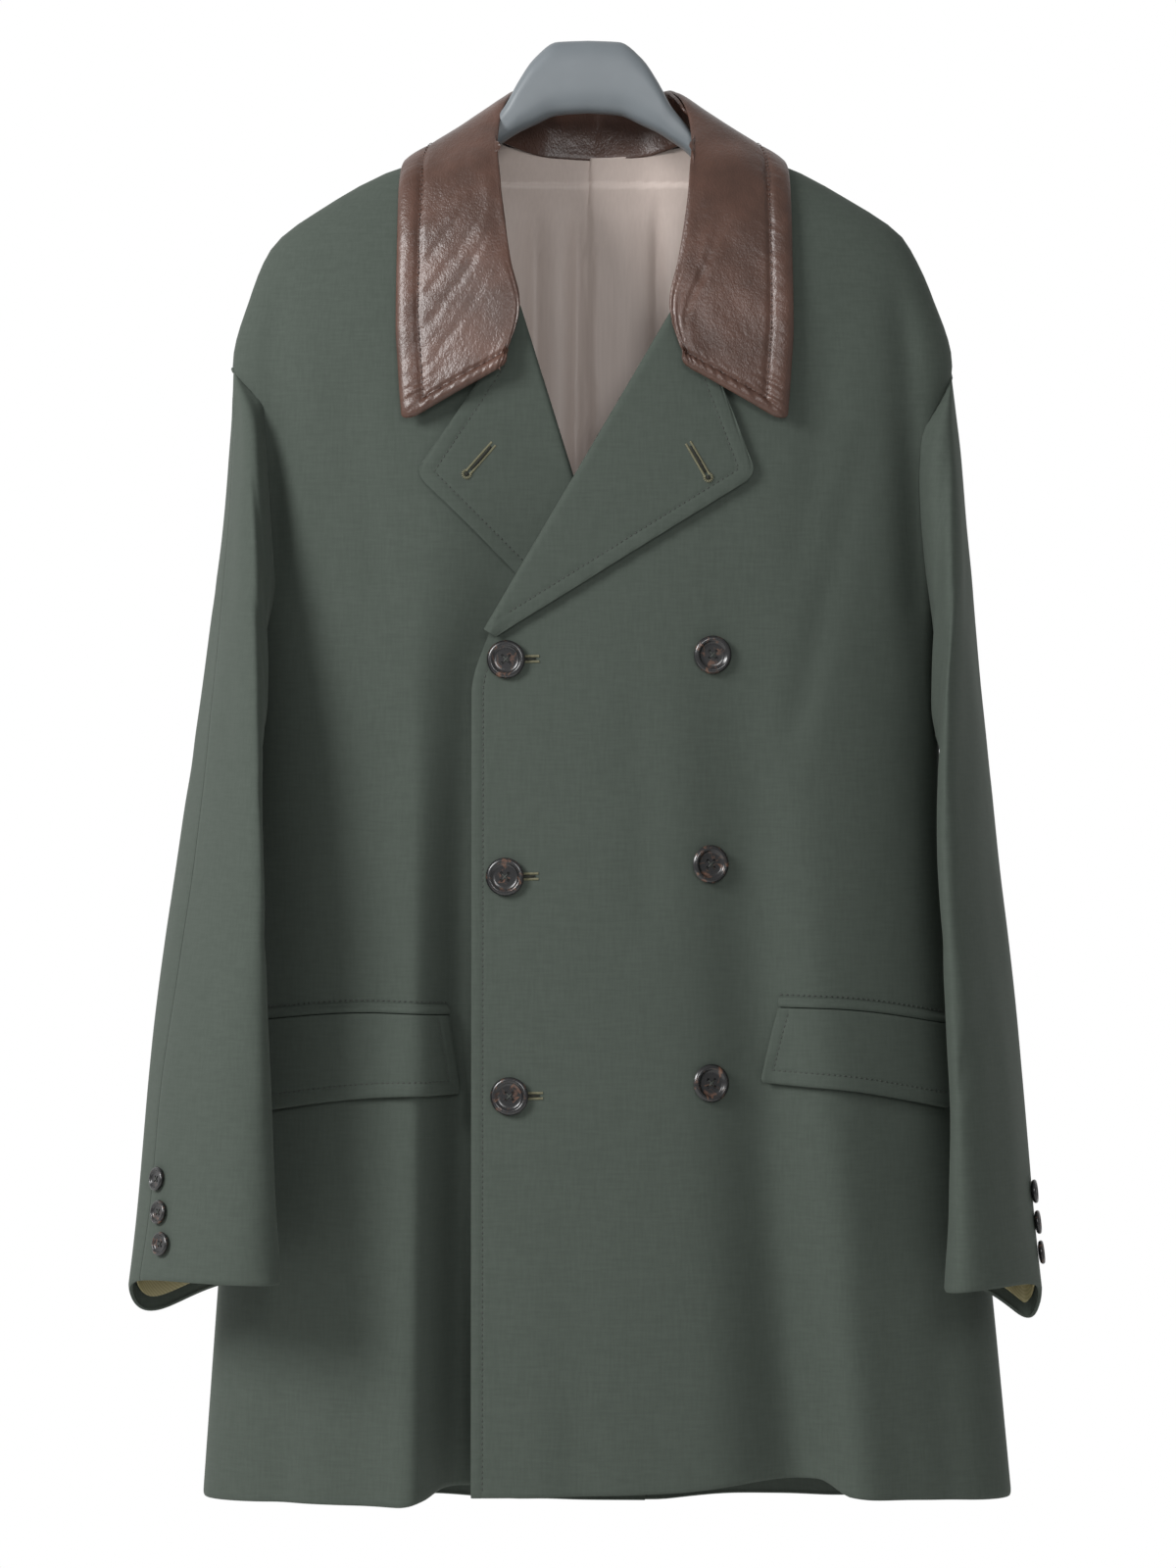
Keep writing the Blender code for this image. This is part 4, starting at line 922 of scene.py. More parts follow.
# The collar: soft leather over a stiff layer, sewn to the neck. Its stand rises inside the neck, and its fall
# turns over it and lies on the shoulders. The fall's edge is turned under and stitched 7.8 mm in through a
# padded border, which the stitches pucker.
LEATHER = 0.0022
COLLAR_LIFT = 0.0022
COLLAR_SOFT = 0.0060
COLLAR_SIDE_FADE = 0.035
STAND_TO = 0.46
COLLAR_STITCH = 0.0078
COLLAR_CORNER = 0.0060
COLLAR_STITCH_LENGTH = 0.0025
COLLAR_STITCH_THICK = 0.0007
COLLAR_STITCH_SINK = 0.0007
COLLAR_STITCHED_TO = 0.10
COLLAR_END_RUN = 0.38
COLLAR_STEP = 0.03
FALL_RISE = 0.06
FALL_STEP = 0.01
FALL_STEP_ACROSS = 0.02

# The fall's border: how far and how fully it swells, the depth and width of the groove at its stitches, and
# how far and over what width it turns under at the edge
BORDER_SWELL = 0.0013
BORDER_FULLNESS = 0.8
BORDER_GROOVE = 0.0011
BORDER_GROOVE_WIDTH = 0.0013
BORDER_TURN = 0.0012
BORDER_ROUND = 0.0024

# The puckers of the border: their height and pitch, how far in from the edge they are highest as a share of
# the stitches, how far they reach from there, and how unevenly they come
PUCKER = 0.00065
PUCKER_PITCH = 0.0062
PUCKER_AT = 0.8
PUCKER_REACH = 0.0048
PUCKER_SHARE = 0.6
PUCKER_SWAY = 2.2
PUCKER_WAVES_ALONG = 160
PUCKER_WAVES_IN = 60
PUCKER_SEED = 3

# The slight unevenness of the leather, and where over the shoulder the pull smooths the fall
UNEVENNESS = 0.0007
UNEVEN_ALONG = 14
UNEVEN_ACROSS = 5
UNEVEN_SEED = 9
SMOOTH_PLACE = 0.44
SMOOTH_REACH = (0.14, 0.06)
SMOOTH_SHARE = 0.7
SHOULDER_PLACES = (0.28, 0.72)
SHOULDER_PASSES = 40
FALL_PASSES = 6

# The stand: how far past the roll line it goes, its slight wrinkles, and how far it is set back
STAND_ROWS = 90
STAND_COLUMNS = 12
STAND_OVER = 1.02
STAND_WRINKLE = 0.0009
STAND_WAVES = (110, 130, 60)
STAND_SEED = 2
STAND_PLAIN_COLUMNS = 5
STAND_BACK = 0.0008

# The collar's half from the middle of the back to its front end: neck seam, roll line and outer edge
Collar = namedtuple("Collar", "place neck_x neck_y neck_z roll_x roll_y roll_z edge_x edge_y edge_z bulge")
COLLAR = (
    Collar(0.00, 0.0000, 0.0425, -0.0688, 0.0000, 0.0490, -0.0290, 0.0000, 0.0690, -0.1050, 0.012),
    Collar(0.14, 0.0300, 0.0400, -0.0668, 0.0270, 0.0440, -0.0282, 0.0440, 0.0680, -0.1030, 0.012),
    Collar(0.28, 0.0560, 0.0250, -0.0595, 0.0456, 0.0230, -0.0282, 0.0900, 0.0500, -0.0900, 0.010),
    Collar(0.35, 0.0640, 0.0140, -0.0555, 0.0500, 0.0130, -0.0312, 0.1040, 0.0340, -0.0755, 0.008),
    Collar(0.42, 0.0690, 0.0020, -0.0530, 0.0535, 0.0030, -0.0360, 0.1130, 0.0040, -0.0700, 0.005),
    Collar(0.56, 0.0690, -0.0155, -0.0560, 0.0590, -0.0170, -0.0590, 0.1190, -0.0240, -0.0850, 0.006),
    Collar(0.70, 0.0660, -0.0300, -0.0850, 0.0572, -0.0385, -0.0900, 0.1195, -0.0400, -0.1220, 0.008),
    Collar(0.85, 0.0610, -0.0400, -0.1250, 0.0505, -0.0550, -0.1390, 0.1200, -0.0520, -0.1790, 0.007),
    Collar(0.92, 0.0580, -0.0430, -0.1450, 0.0450, -0.0612, -0.1665, 0.1185, -0.0557, -0.2065, 0.006),
    Collar(1.00, 0.0540, -0.0460, -0.1680, 0.0560, -0.0665, -0.2055, 0.1160, -0.0595, -0.2385, 0.005),
)

# Creases of the fall on one side, between two places along and across it. Each is a trough with a ridge
# beside it, in shares of its half-width and depth
Wrinkle = namedtuple("Wrinkle", "side place across to_place to_across half_width depth")
WRINKLE_FADE_IN = (-0.08, 0.2)
WRINKLE_FADE_OUT = (1.1, 0.5)
WRINKLE_CORE = 0.6
WRINKLE_TROUGH = 0.55
WRINKLE_RIDGE = 0.55
WRINKLE_RIDGE_AT = 2.1
WRINKLE_SWAY = 0.0022
COLLAR_WRINKLES = (
    Wrinkle(-1, 0.84, 0.92, 0.74, 0.40, 0.0030, 0.0011), Wrinkle(-1, 0.89, 0.92, 0.76, 0.28, 0.0032, 0.0012),
    Wrinkle(-1, 0.79, 0.92, 0.71, 0.52, 0.0028, 0.0010), Wrinkle(-1, 0.94, 0.90, 0.83, 0.36, 0.0030, 0.0008),
    Wrinkle(-1, 0.74, 0.90, 0.69, 0.62, 0.0026, 0.0007), Wrinkle(-1, 0.97, 0.14, 0.84, 0.24, 0.0028, 0.0008),
    Wrinkle(1, 0.96, 0.16, 0.86, 0.24, 0.0028, 0.0009), Wrinkle(1, 0.96, 0.34, 0.80, 0.56, 0.0034, 0.0009),
    Wrinkle(1, 0.88, 0.44, 0.74, 0.62, 0.0032, 0.0007), Wrinkle(1, 0.97, 0.24, 0.89, 0.34, 0.0026, 0.0008),
)


def collar_row(place, side):
    """A station of the collar; place runs from 0 at the middle of the back to 1 at the front end."""
    row = between(COLLAR, place)
    neck = Vector((NECK_MIDDLE_X + side * row.neck_x, row.neck_y, row.neck_z))
    roll = Vector((NECK_MIDDLE_X + side * row.roll_x, row.roll_y, row.roll_z))
    edge = Vector((NECK_MIDDLE_X + side * row.edge_x, row.edge_y, row.edge_z))
    return neck, roll, edge, row.bulge


def clear_of_body(point):
    """A point of the collar, moved softly out of the body where the collar lies on it."""
    section = between(BODY, point.z)
    from_side = min(point.x - section.right_x, section.left_x - point.x)
    if point.z > NECK_Z or from_side < 0:
        return point
    surface_y, facing = (front_y, -1) if point.y < section.side_y else (back_y, 1)
    gap = facing * (point.y - surface_y(point.x, point.z)) - LEATHER - COLLAR_LIFT
    push = (math.hypot(gap, COLLAR_SOFT) - gap) / 2 * ramp(from_side, 0.0, COLLAR_SIDE_FADE)
    point.y += facing * push * ramp(point.z, NECK_Z, NECK_Z - COLLAR_SOFT)
    return point


def fall_point(place, side, across):
    """A point of the fall, a leaf that bends from the roll line to the outer edge."""
    _, before, _, _ = collar_row(max(place - COLLAR_STEP, 0), side)
    _, roll, edge, bulge = collar_row(place, side)
    _, after, _, _ = collar_row(min(place + COLLAR_STEP, 1), side)
    out = ((after - before).cross(edge - roll) * side).normalized()
    top = roll + out * bulge + (roll - edge) * FALL_RISE
    return clear_of_body(roll.lerp(top, across).lerp(top.lerp(edge, across), across))


def rounded(gap, end_gap, radius):
    """Gaps from two edges that meet at a corner, drawn in so that the corner is round."""
    if gap >= radius or end_gap >= radius:
        return gap, end_gap
    off, end_off = radius - gap, radius - end_gap
    share = max(off, end_off) / max(math.hypot(off, end_off), 1e-9)
    return radius - off * share, radius - end_off * share


def fall_gaps(place, side, across):
    """How far a place on the fall is from its outer edge and its front end, and the fall's width there."""
    _, roll, edge, _ = collar_row(place, side)
    width = (edge - roll).length
    return (1 - across) * width, (1 - place) * COLLAR_END_RUN, width


def on_fall(along, across, width):
    """A way along and across the fall, laid flat."""
    return Vector((along * COLLAR_END_RUN, across * width))


def fall_relief(place, side, across):
    """The relief of the leather: its padded and puckered border, its creases and its slight unevenness."""
    gap, end_gap, width = fall_gaps(place, side, across)
    near = min(gap, end_gap)
    along = place * COLLAR_END_RUN if gap < end_gap else across * width
    swell = BORDER_SWELL * math.sin(math.pi * min(near / COLLAR_STITCH, 1)) ** BORDER_FULLNESS
    groove = -BORDER_GROOVE * math.exp(-((near - COLLAR_STITCH) / BORDER_GROOVE_WIDTH) ** 2)
    waver = noise.noise(Vector((along * PUCKER_WAVES_ALONG, near * PUCKER_WAVES_IN, side * PUCKER_SEED)))
    pull = PUCKER * math.cos(2 * math.pi * along / PUCKER_PITCH + PUCKER_SWAY * waver)
    reach = math.exp(-((near - PUCKER_AT * COLLAR_STITCH) / PUCKER_REACH) ** 2)
    pucker = pull * (PUCKER_SHARE + PUCKER_SHARE * waver) * reach
    relief = swell + groove + pucker - BORDER_TURN * max(0, 1 - near / BORDER_ROUND) ** 2
    at = Vector((place * UNEVEN_ALONG, across * UNEVEN_ACROSS, side * UNEVEN_SEED))
    relief += UNEVENNESS * noise.noise(at)
    for wrinkle in COLLAR_WRINKLES:
        if wrinkle.side == side:
            run = on_fall(wrinkle.to_place - wrinkle.place, wrinkle.to_across - wrinkle.across, width)
            share, away = along_crease(run, on_fall(place - wrinkle.place, across - wrinkle.across, width))
            off = (away + WRINKLE_SWAY * waver) / (WRINKLE_CORE * wrinkle.half_width)
            fade = ramp(share, *WRINKLE_FADE_IN) * ramp(share, *WRINKLE_FADE_OUT)
            ridge = WRINKLE_RIDGE * math.exp(-((off - WRINKLE_RIDGE_AT) ** 2))
            relief -= WRINKLE_TROUGH * wrinkle.depth * fade * (math.exp(-off * off) - ridge)
    return relief * (1 - SMOOTH_SHARE * ramp(abs(place - SMOOTH_PLACE), *SMOOTH_REACH))


# Collar leather: lamb nappa, tanned brown, dyed through and finished with a thin clear film, so it is soft
# and shines gently on its ridges. The grain is a net of fine wrinkles about 1 mm apart, drawn at 1.3 mm to
# show; longer wrinkles run across it every 5 mm or so.
GRAIN = 0.0013
WRINKLE = 0.0050
SHADE = 0.0300
nappa = new_material("brown_nappa_leather")
coords = add_node(nappa, "TexCoord")["Object"]
slanted = add_node(nappa, "Mapping", Vector=coords, Rotation=(0, 0.7, 0), Scale=(1.15, 1.0, 0.85))["Vector"]
grain = add_node(
    nappa, "TexVoronoi", {"feature": "SMOOTH_F1"}, Vector=slanted, Scale=1 / GRAIN, Smoothness=0.5,
)["Distance"]
wrinkled = add_node(nappa, "TexNoise", Vector=slanted, Scale=1 / WRINKLE, Detail=5, Roughness=0.65)["Fac"]
dye = add_node(nappa, "TexNoise", Vector=coords, Scale=1 / SHADE, Detail=3, Roughness=0.5)["Fac"]
tone = add_node(nappa, "MapRange", Value=dye, From_Min=0.35, From_Max=0.68)["Result"]
base_colour = add_node(nappa, "MixRGB", Fac=tone, Color1=linear("#3d281f"), Color2=linear("#4e352b"))["Color"]
creased = add_node(nappa, "Bump", Height=wrinkled, Strength=0.35, Distance=0.0014)["Normal"]
pebbled = add_node(
    nappa, "Bump", {"invert": True}, Height=grain, Strength=0.30, Distance=0.0004, Normal=creased,
)["Normal"]
add_node(nappa, "Principled BSDF", Base_Color=base_colour, Normal=pebbled, Roughness=0.36, IOR=1.50)

# Collar thread: waxed polyester, brown like the leather
waxed_thread = new_material("waxed_thread_brown")
add_node(waxed_thread, "Principled BSDF", Base_Color=linear("#3f2b24"), Roughness=0.45, IOR=1.57)

half_places = spread((0.25, 16, 1), (0.50, 36, 1), (0.94, 62, 1), (1, 24, 1))
fall_rows = [(place, -1) for place in half_places[::-1]] + [(place, 1) for place in half_places[1:]]
fall_columns = spread((0.12, 6, 1), (0.82, 34, 1), (1, 20, 1))


def fall_grid_point(row, column):
    """A point of the fall, with its front corners rounded."""
    place, side = fall_rows[row]
    gap, end_gap, width = fall_gaps(place, side, fall_columns[column])
    gap, end_gap = rounded(gap, end_gap, COLLAR_CORNER)
    return fall_point(1 - end_gap / COLLAR_END_RUN, side, 1 - gap / width)


bm, places = laid_grid(len(fall_rows) - 1, len(fall_columns) - 1, fall_grid_point)
at_place = {place: vert for vert, place in places.items()}
first, last = SHOULDER_PLACES
shoulder_rows = [row for row, (place, _) in enumerate(fall_rows) if first < place < last]
for _ in range(SHOULDER_PASSES):
    eased = {}
    for row in shoulder_rows:
        for column in range(len(fall_columns)):
            before, after = at_place[row - 1, column].co, at_place[row + 1, column].co
            eased[row, column] = at_place[row, column].co.lerp((before + after) / 2, 0.5)
    for place, co in eased.items():
        at_place[place].co = co
inner_rows, inner_columns = range(1, len(fall_rows) - 1), range(1, len(fall_columns) - 1)
inner = [vert for vert, (row, column) in places.items() if row in inner_rows and column in inner_columns]
for _ in range(FALL_PASSES):
    ease(bm, inner)
raise_cloth(bm, places, lambda _, row, column: fall_relief(*fall_rows[row], fall_columns[column]))
collar_fall = add_piece("nappa_collar_fall", bm, nappa, ("collar_fall",), LEATHER)

stand_rows = [2 * share - 1 for share in spread((1, STAND_ROWS, 1))]


def stand_point(row, column):
    """A point of the stand, which rises from the neck seam to the roll line."""
    share = stand_rows[row]
    neck, roll, _, _ = collar_row(abs(share) * STAND_TO, -1 if share > 0 else 1)
    return neck.lerp(roll, STAND_OVER * column / STAND_COLUMNS)


def stand_relief(co, _, column):
    """The wrinkles of the stand, which fade out at the neck seam."""
    by_x, slanted, by_z = STAND_WAVES
    wrinkles = noise.noise(Vector((co.x * by_x + co.z * slanted, co.z * by_z, STAND_SEED)))
    return STAND_WRINKLE * wrinkles * ramp(column, 0, STAND_PLAIN_COLUMNS) - STAND_BACK


bm, places = laid_grid(STAND_ROWS, STAND_COLUMNS, stand_point)
raise_cloth(bm, places, stand_relief)
collar_stand = add_piece("nappa_collar_stand", bm, nappa, ("collar_stand",), LEATHER)

bm = bmesh.new()
for side in (-1, 1):
    path = []
    turn_place = 1 - COLLAR_STITCH / COLLAR_END_RUN
    for place in [turn_place * part for part in spread((1, 120, 1))]:
        _, _, width = fall_gaps(place, side, 1)
        path.append((place, 1 - COLLAR_STITCH / width))
    last = path[-1][1]
    path += [(turn_place, mix(last, COLLAR_STITCHED_TO, part)) for part in spread((1, 30, 1))[1:]]
    track = []
    for place, across in path:
        point = fall_point(place, side, across)
        before, after = max(place - FALL_STEP, 0), min(place + FALL_STEP, 1)
        along = fall_point(after, side, across) - fall_point(before, side, across)
        inner, outer = across - FALL_STEP_ACROSS, min(across + FALL_STEP_ACROSS, 1)
        outwards = fall_point(place, side, outer) - fall_point(place, side, inner)
        out = (along.cross(outwards) * side).normalized()
        track.append((point - out * COLLAR_STITCH_SINK, out))
    sew(bm, track, STITCH_PITCH, COLLAR_STITCH_LENGTH, COLLAR_STITCH_THICK)
collar_stitches = add_piece("collar_stitches", bm, waxed_thread)

# The back lining: taupe viscose satin, cut wider than the back. The extra is a pleat down the middle, and a
# narrow tuck runs across under the neck seam. It hangs free inside the coat.
LINING_GAP = 0.0016
LINING_GAP_LOW = 0.0070
LINING_INSET = 0.0120
LINING_OVER = 0.0032
LINING_LOW_Z = -0.862
TUCK_Z = -0.0835
PLEAT_X = 0.0024

# How far the tuck and the pleat stand forward, and where each rises at its fold and where it runs out
TUCK_HEIGHT = 0.0016
TUCK_FOLD_Z = (TUCK_Z + 0.0012, TUCK_Z - 0.0004)
TUCK_OUT_Z = (TUCK_Z - 0.040, TUCK_Z)
PLEAT_HEIGHT = 0.0028
PLEAT_FOLD_X = (PLEAT_X - 0.0010, PLEAT_X + 0.0002)
PLEAT_OUT_X = (PLEAT_X + 0.034, PLEAT_X + 0.004)

# Folds of the lining: their places across it, widths and heights towards the front. They begin at the tuck
# and sway a little on the way down
Ripple = namedtuple("Ripple", "x half_width height")
RIPPLES_FROM_Z = (TUCK_Z + 0.002, TUCK_Z - 0.050)
RIPPLE_SWAY = 0.02
RIPPLE_SEED = 90
LINING_RIPPLES = (
    Ripple(-0.110, 0.020, 0.0020), Ripple(-0.052, 0.012, 0.0036), Ripple(-0.033, 0.005, -0.0022),
    Ripple(-0.019, 0.009, 0.0022), Ripple(-0.006, 0.004, -0.0022), Ripple(0.024, 0.014, 0.0020),
    Ripple(0.043, 0.005, -0.0034), Ripple(0.058, 0.012, 0.0034), Ripple(0.100, 0.018, -0.0016),
    Ripple(0.140, 0.020, 0.0020),
)


def lining_lift(x, z):
    """How far the lining stands forward of its plain form."""
    down = ramp(z, *RIPPLES_FROM_Z)
    lift = TUCK_HEIGHT * ramp(z, *TUCK_FOLD_Z) * ramp(z, *TUCK_OUT_Z)
    lift += PLEAT_HEIGHT * ramp(x, *PLEAT_FOLD_X) * ramp(x, *PLEAT_OUT_X)
    for ripple in LINING_RIPPLES:
        sway = RIPPLE_SWAY * (TUCK_Z - z) * noise.noise(Vector((ripple.x * RIPPLE_SEED, 0, 0)))
        off = (x - ripple.x - sway) / ripple.half_width
        lift += ripple.height * down * math.exp(-FOLD_CRISPNESS * off * off)
    return lift


# Viscose satin: smooth filament with long floats down the cloth, so it has a soft lengthways sheen. Its
# threads are 0.1 mm, too fine to show, so streaks of them are drawn 1.4 mm wide. Its taupe is drawn lighter
# than the dyed cloth is, as painted light on the inside of the neck.
STREAK = 0.0014
satin = new_material("taupe_viscose_satin")
coords = add_node(satin, "TexCoord")["Object"]
floats = add_node(satin, "Mapping", Vector=coords, Scale=(1, 1, 0.03))["Vector"]
streaks = add_node(satin, "TexNoise", Vector=floats, Scale=1 / STREAK, Detail=2)["Fac"]
# The lining's taupe, lighter than its dye as painted light for the inside of the neck
base_colour = add_node(satin, "MixRGB", Fac=streaks, Color1=linear("#b8a9a1"), Color2=linear("#c5b6ae"))["Color"]
add_node(
    satin, "Principled BSDF", Base_Color=base_colour, Roughness=0.52, IOR=1.53, Sheen_Weight=0.10,
    Sheen_Roughness=0.4,
)

lining_downs = spread((0.05, 24, 1), (0.36, 46, 1), (1, 40, 1))
lining_acrosses = spread((1, 150, 1))


def lining_point(row, column):
    """A point of the lining, inside the back; level and place across are worked out by turns."""
    x = 0.0
    for _ in range(3):
        z = mix(back_neck_z(x) + LINING_OVER, LINING_LOW_Z, lining_downs[row])
        x = mix(armhole_x(z, 1) - LINING_INSET, armhole_x(z, -1) + LINING_INSET, lining_acrosses[column])
    inwards = CLOTH + mix(LINING_GAP, LINING_GAP_LOW, lining_downs[row]) + lining_lift(x, z)
    return x, back_right_y(x, z) - inwards, z


bm, _ = laid_grid(len(lining_downs) - 1, len(lining_acrosses) - 1, lining_point)
lining = add_piece("satin_back_lining", bm, satin, ("lining_back",), LINING)

# The pockets: a flap of loden stitched 8 mm in along its edges, hanging under a narrow welt that is folded
# like piping and sewn above the slit.
WELT_HEIGHT = 0.0060
WELT_THICK = 0.0020
WELT_LIFT = 0.0010
WELT_STITCH = 0.0014
WELT_WALL = 0.0007
WELT_ROWS = 10
WELT_EDGE = 0.55
WELT_BULGE = 0.45
WELT_ROUND = 1.25
FLAP_LIFT_TOP = 0.0010
FLAP_LIFT_LOW = 0.0034
FLAP_STITCH = 0.0080
FLAP_STITCHED_FROM = 0.06
FLAP_CORNER = 0.0036

# A pocket flap: its front and rear ends, above and below
Flap = namedtuple("Flap", "front_top_x front_low_x rear_x front_top_z rear_top_z front_low_z rear_low_z arch")
FLAP_RIGHT = Flap(-0.0850, -0.0785, -0.1985, -0.5945, -0.5985, -0.6420, -0.6540, 0.0035)
FLAP_LEFT = Flap(0.1150, 0.1025, 0.2170, -0.5895, -0.6010, -0.6345, -0.6520, 0.0030)


def flap_place(flap, along, down):
    """Where a flap lies on its front: x and z."""
    arch = flap.arch * math.sin(math.pi * along)
    top_z = mix(flap.front_top_z, flap.rear_top_z, along) + arch
    low_z = mix(flap.front_low_z, flap.rear_low_z, along) + arch
    return mix(mix(flap.front_top_x, flap.front_low_x, down), flap.rear_x, along), mix(top_z, low_z, down)


def flap_point(flap, surface_y, along, down):
    """A point of a flap and the direction out of it."""
    x, z = flap_place(flap, along, down)
    return lying_on(surface_y, x, z, CLOTH + mix(FLAP_LIFT_TOP, FLAP_LIFT_LOW, down))


for word, flap, side, surface_y, cut_width, cut_area in (
    ("right", FLAP_RIGHT, -1, front_right_y, 0.150, 0.0074),
    ("left", FLAP_LEFT, 1, front_left_y, 0.122, 0.0060),
):
    wide = abs(flap.rear_x - flap.front_low_x)
    high = flap.front_top_z - flap.front_low_z
    downs = spread((0.72, 16, 1), (1, 18, 1))
    alongs = spread((0.12, 18, 1), (0.88, 40, 1), (1, 18, 1))

    def gaps(down, along):
        """How far a place on the flap is from its lower edge and from its nearer end."""
        return (1 - down) * high, min(along, 1 - along) * wide

    def flap_grid_point(row, column):
        """A point of the flap, with its lower corners rounded."""
        low_gap, end_gap = rounded(*gaps(downs[row], alongs[column]), FLAP_CORNER)
        along = end_gap / wide if alongs[column] < 0.5 else 1 - end_gap / wide
        return flap_point(flap, surface_y, along, 1 - low_gap / high)[0]

    bm, places = laid_grid(len(downs) - 1, len(alongs) - 1, flap_grid_point, side < 0)
    raise_cloth(
        bm, places,
        lambda _, row, column: stitched_border(
            min((1 - downs[row]) * high, alongs[column] * wide), FLAP_STITCH,
        ),
    )
    piece = add_piece(f"loden_flap_{word}", bm, loden, (f"flap_{word}",), CLOTH)
    in_along, in_down = FLAP_STITCH / wide, 1 - FLAP_STITCH / high
    path = [(in_along, mix(FLAP_STITCHED_FROM, in_down, part)) for part in spread((1, 20, 1))]
    path += [(mix(in_along, 1, part), in_down) for part in spread((1, 50, 1))[1:]]
    bm = bmesh.new()
    track = [flap_point(flap, surface_y, *place) for place in path]
    sew(bm, [(point - out * STITCH_SINK, out) for point, out in track])
    track = []
    for along in spread((1, 50, 1)):
        x, top_z = flap_place(flap, along, 0)
        track.append(lying_on(surface_y, x, top_z + SEAM + WELT_HEIGHT + WELT_STITCH, 0))
    sew(bm, track)
    stitches = add_piece(f"flap_{word}_stitches", bm, thread)

    def welt_point(row, column):
        """The welt bulges over its fold, and its upper edge sinks to the seam."""
        up = 1 - row / WELT_ROWS
        x, top_z = flap_place(flap, alongs[column], 0)
        bulge = WELT_THICK * (WELT_EDGE + WELT_BULGE * math.sin(math.pi * min(1, WELT_ROUND * up)))
        return lying_on(surface_y, x, top_z + SEAM + WELT_HEIGHT * up, bulge + WELT_LIFT * (1 - up))[0]

    bm, _ = laid_grid(WELT_ROWS, len(alongs) - 1, welt_point, side < 0)
    welt = add_piece(f"loden_welt_{word}", bm, loden, (f"welt_{word}",), WELT_WALL)

# The buttons: turned from dark horn with a raised rim, a dished middle and four holes, and sewn on with a
# cross of thread. Six are on the fronts and three on each cuff. Each front button on the wearer's right goes
# through a worked buttonhole, whose end shows beside it.
BUTTON_DIAMETER = 0.0230
BUTTON_THICK = 0.0042
CUFF_BUTTON_DIAMETER = 0.0145
CUFF_BUTTON_THICK = 0.0034
BUTTON_STEPS = 40
SHARP_ANGLE = math.radians(50)
CROSS_THREAD = 0.05
CROSS_LIFT = 0.0002
FRONT_HOLE_WIDTH = 0.0052
FRONT_HOLE_TAIL = 0.0195
FRONT_HOLE_RISE = 0.0004
FRONT_HOLE_LIFT = 0.0003
CUFF_HALVINGS = 30

# A button's section from its dished middle over the rim to the underside, and its holes, in shares of its
# radius and thickness
BUTTON_DISH = 0.60
BUTTON_SECTION = (
    (0.50, 0.60), (0.62, 0.62), (0.69, 0.74), (0.74, 0.94), (0.80, 1.00), (0.88, 0.98), (0.95, 0.86),
    (1.00, 0.64), (0.97, 0.40), (0.86, 0.16), (0.55, 0.00),
)
BUTTON_HOLE_RADIUS = 0.085
BUTTON_HOLE_PLACE = 0.185
BUTTON_HOLE_DEPTH = 0.4
BUTTON_HOLE_SIDES = 12

Button = namedtuple("Button", "name x z sink")
FRONT_BUTTONS = (
    Button("fastened_1", -0.0490, -0.3800, 0), Button("fastened_2", -0.0495, -0.5105, 0),
    Button("fastened_3", -0.0468, -0.6420, 0), Button("show_1", 0.0745, -0.3770, 0),
    Button("show_2", 0.0728, -0.5030, 0), Button("show_3", 0.0734, -0.6345, 0.0010),
)
CUFF_BUTTON_Z_RIGHT = (-0.6905, -0.7098, -0.7282)
CUFF_BUTTON_Z_LEFT = (-0.7010, -0.7195, -0.7375)
CUFF_BUTTON_ANGLES_RIGHT = (9, 15, 21)
CUFF_BUTTON_ANGLES_LEFT = (-26, -26, -26)

# Horn: cow horn, sawn, turned and polished, near black with brown clouds where it lets light in. The clouds
# are 6 mm long. Polished horn has an IOR of 1.54.
CLOUD = 0.0060
horn = new_material("polished_dark_horn")
coords = add_node(horn, "TexCoord")["Object"]
clouds = add_node(horn, "TexNoise", Vector=coords, Scale=1 / CLOUD, Detail=3, Distortion=1.2)["Fac"]
tone = add_node(horn, "MapRange", Value=clouds, From_Min=0.56, From_Max=0.74)["Result"]
stained = add_node(horn, "MixRGB", Fac=tone, Color1=linear("#181819"), Color2=linear("#5e4233"))["Color"]
add_node(horn, "Principled BSDF", Base_Color=stained, Roughness=0.26, IOR=1.54)


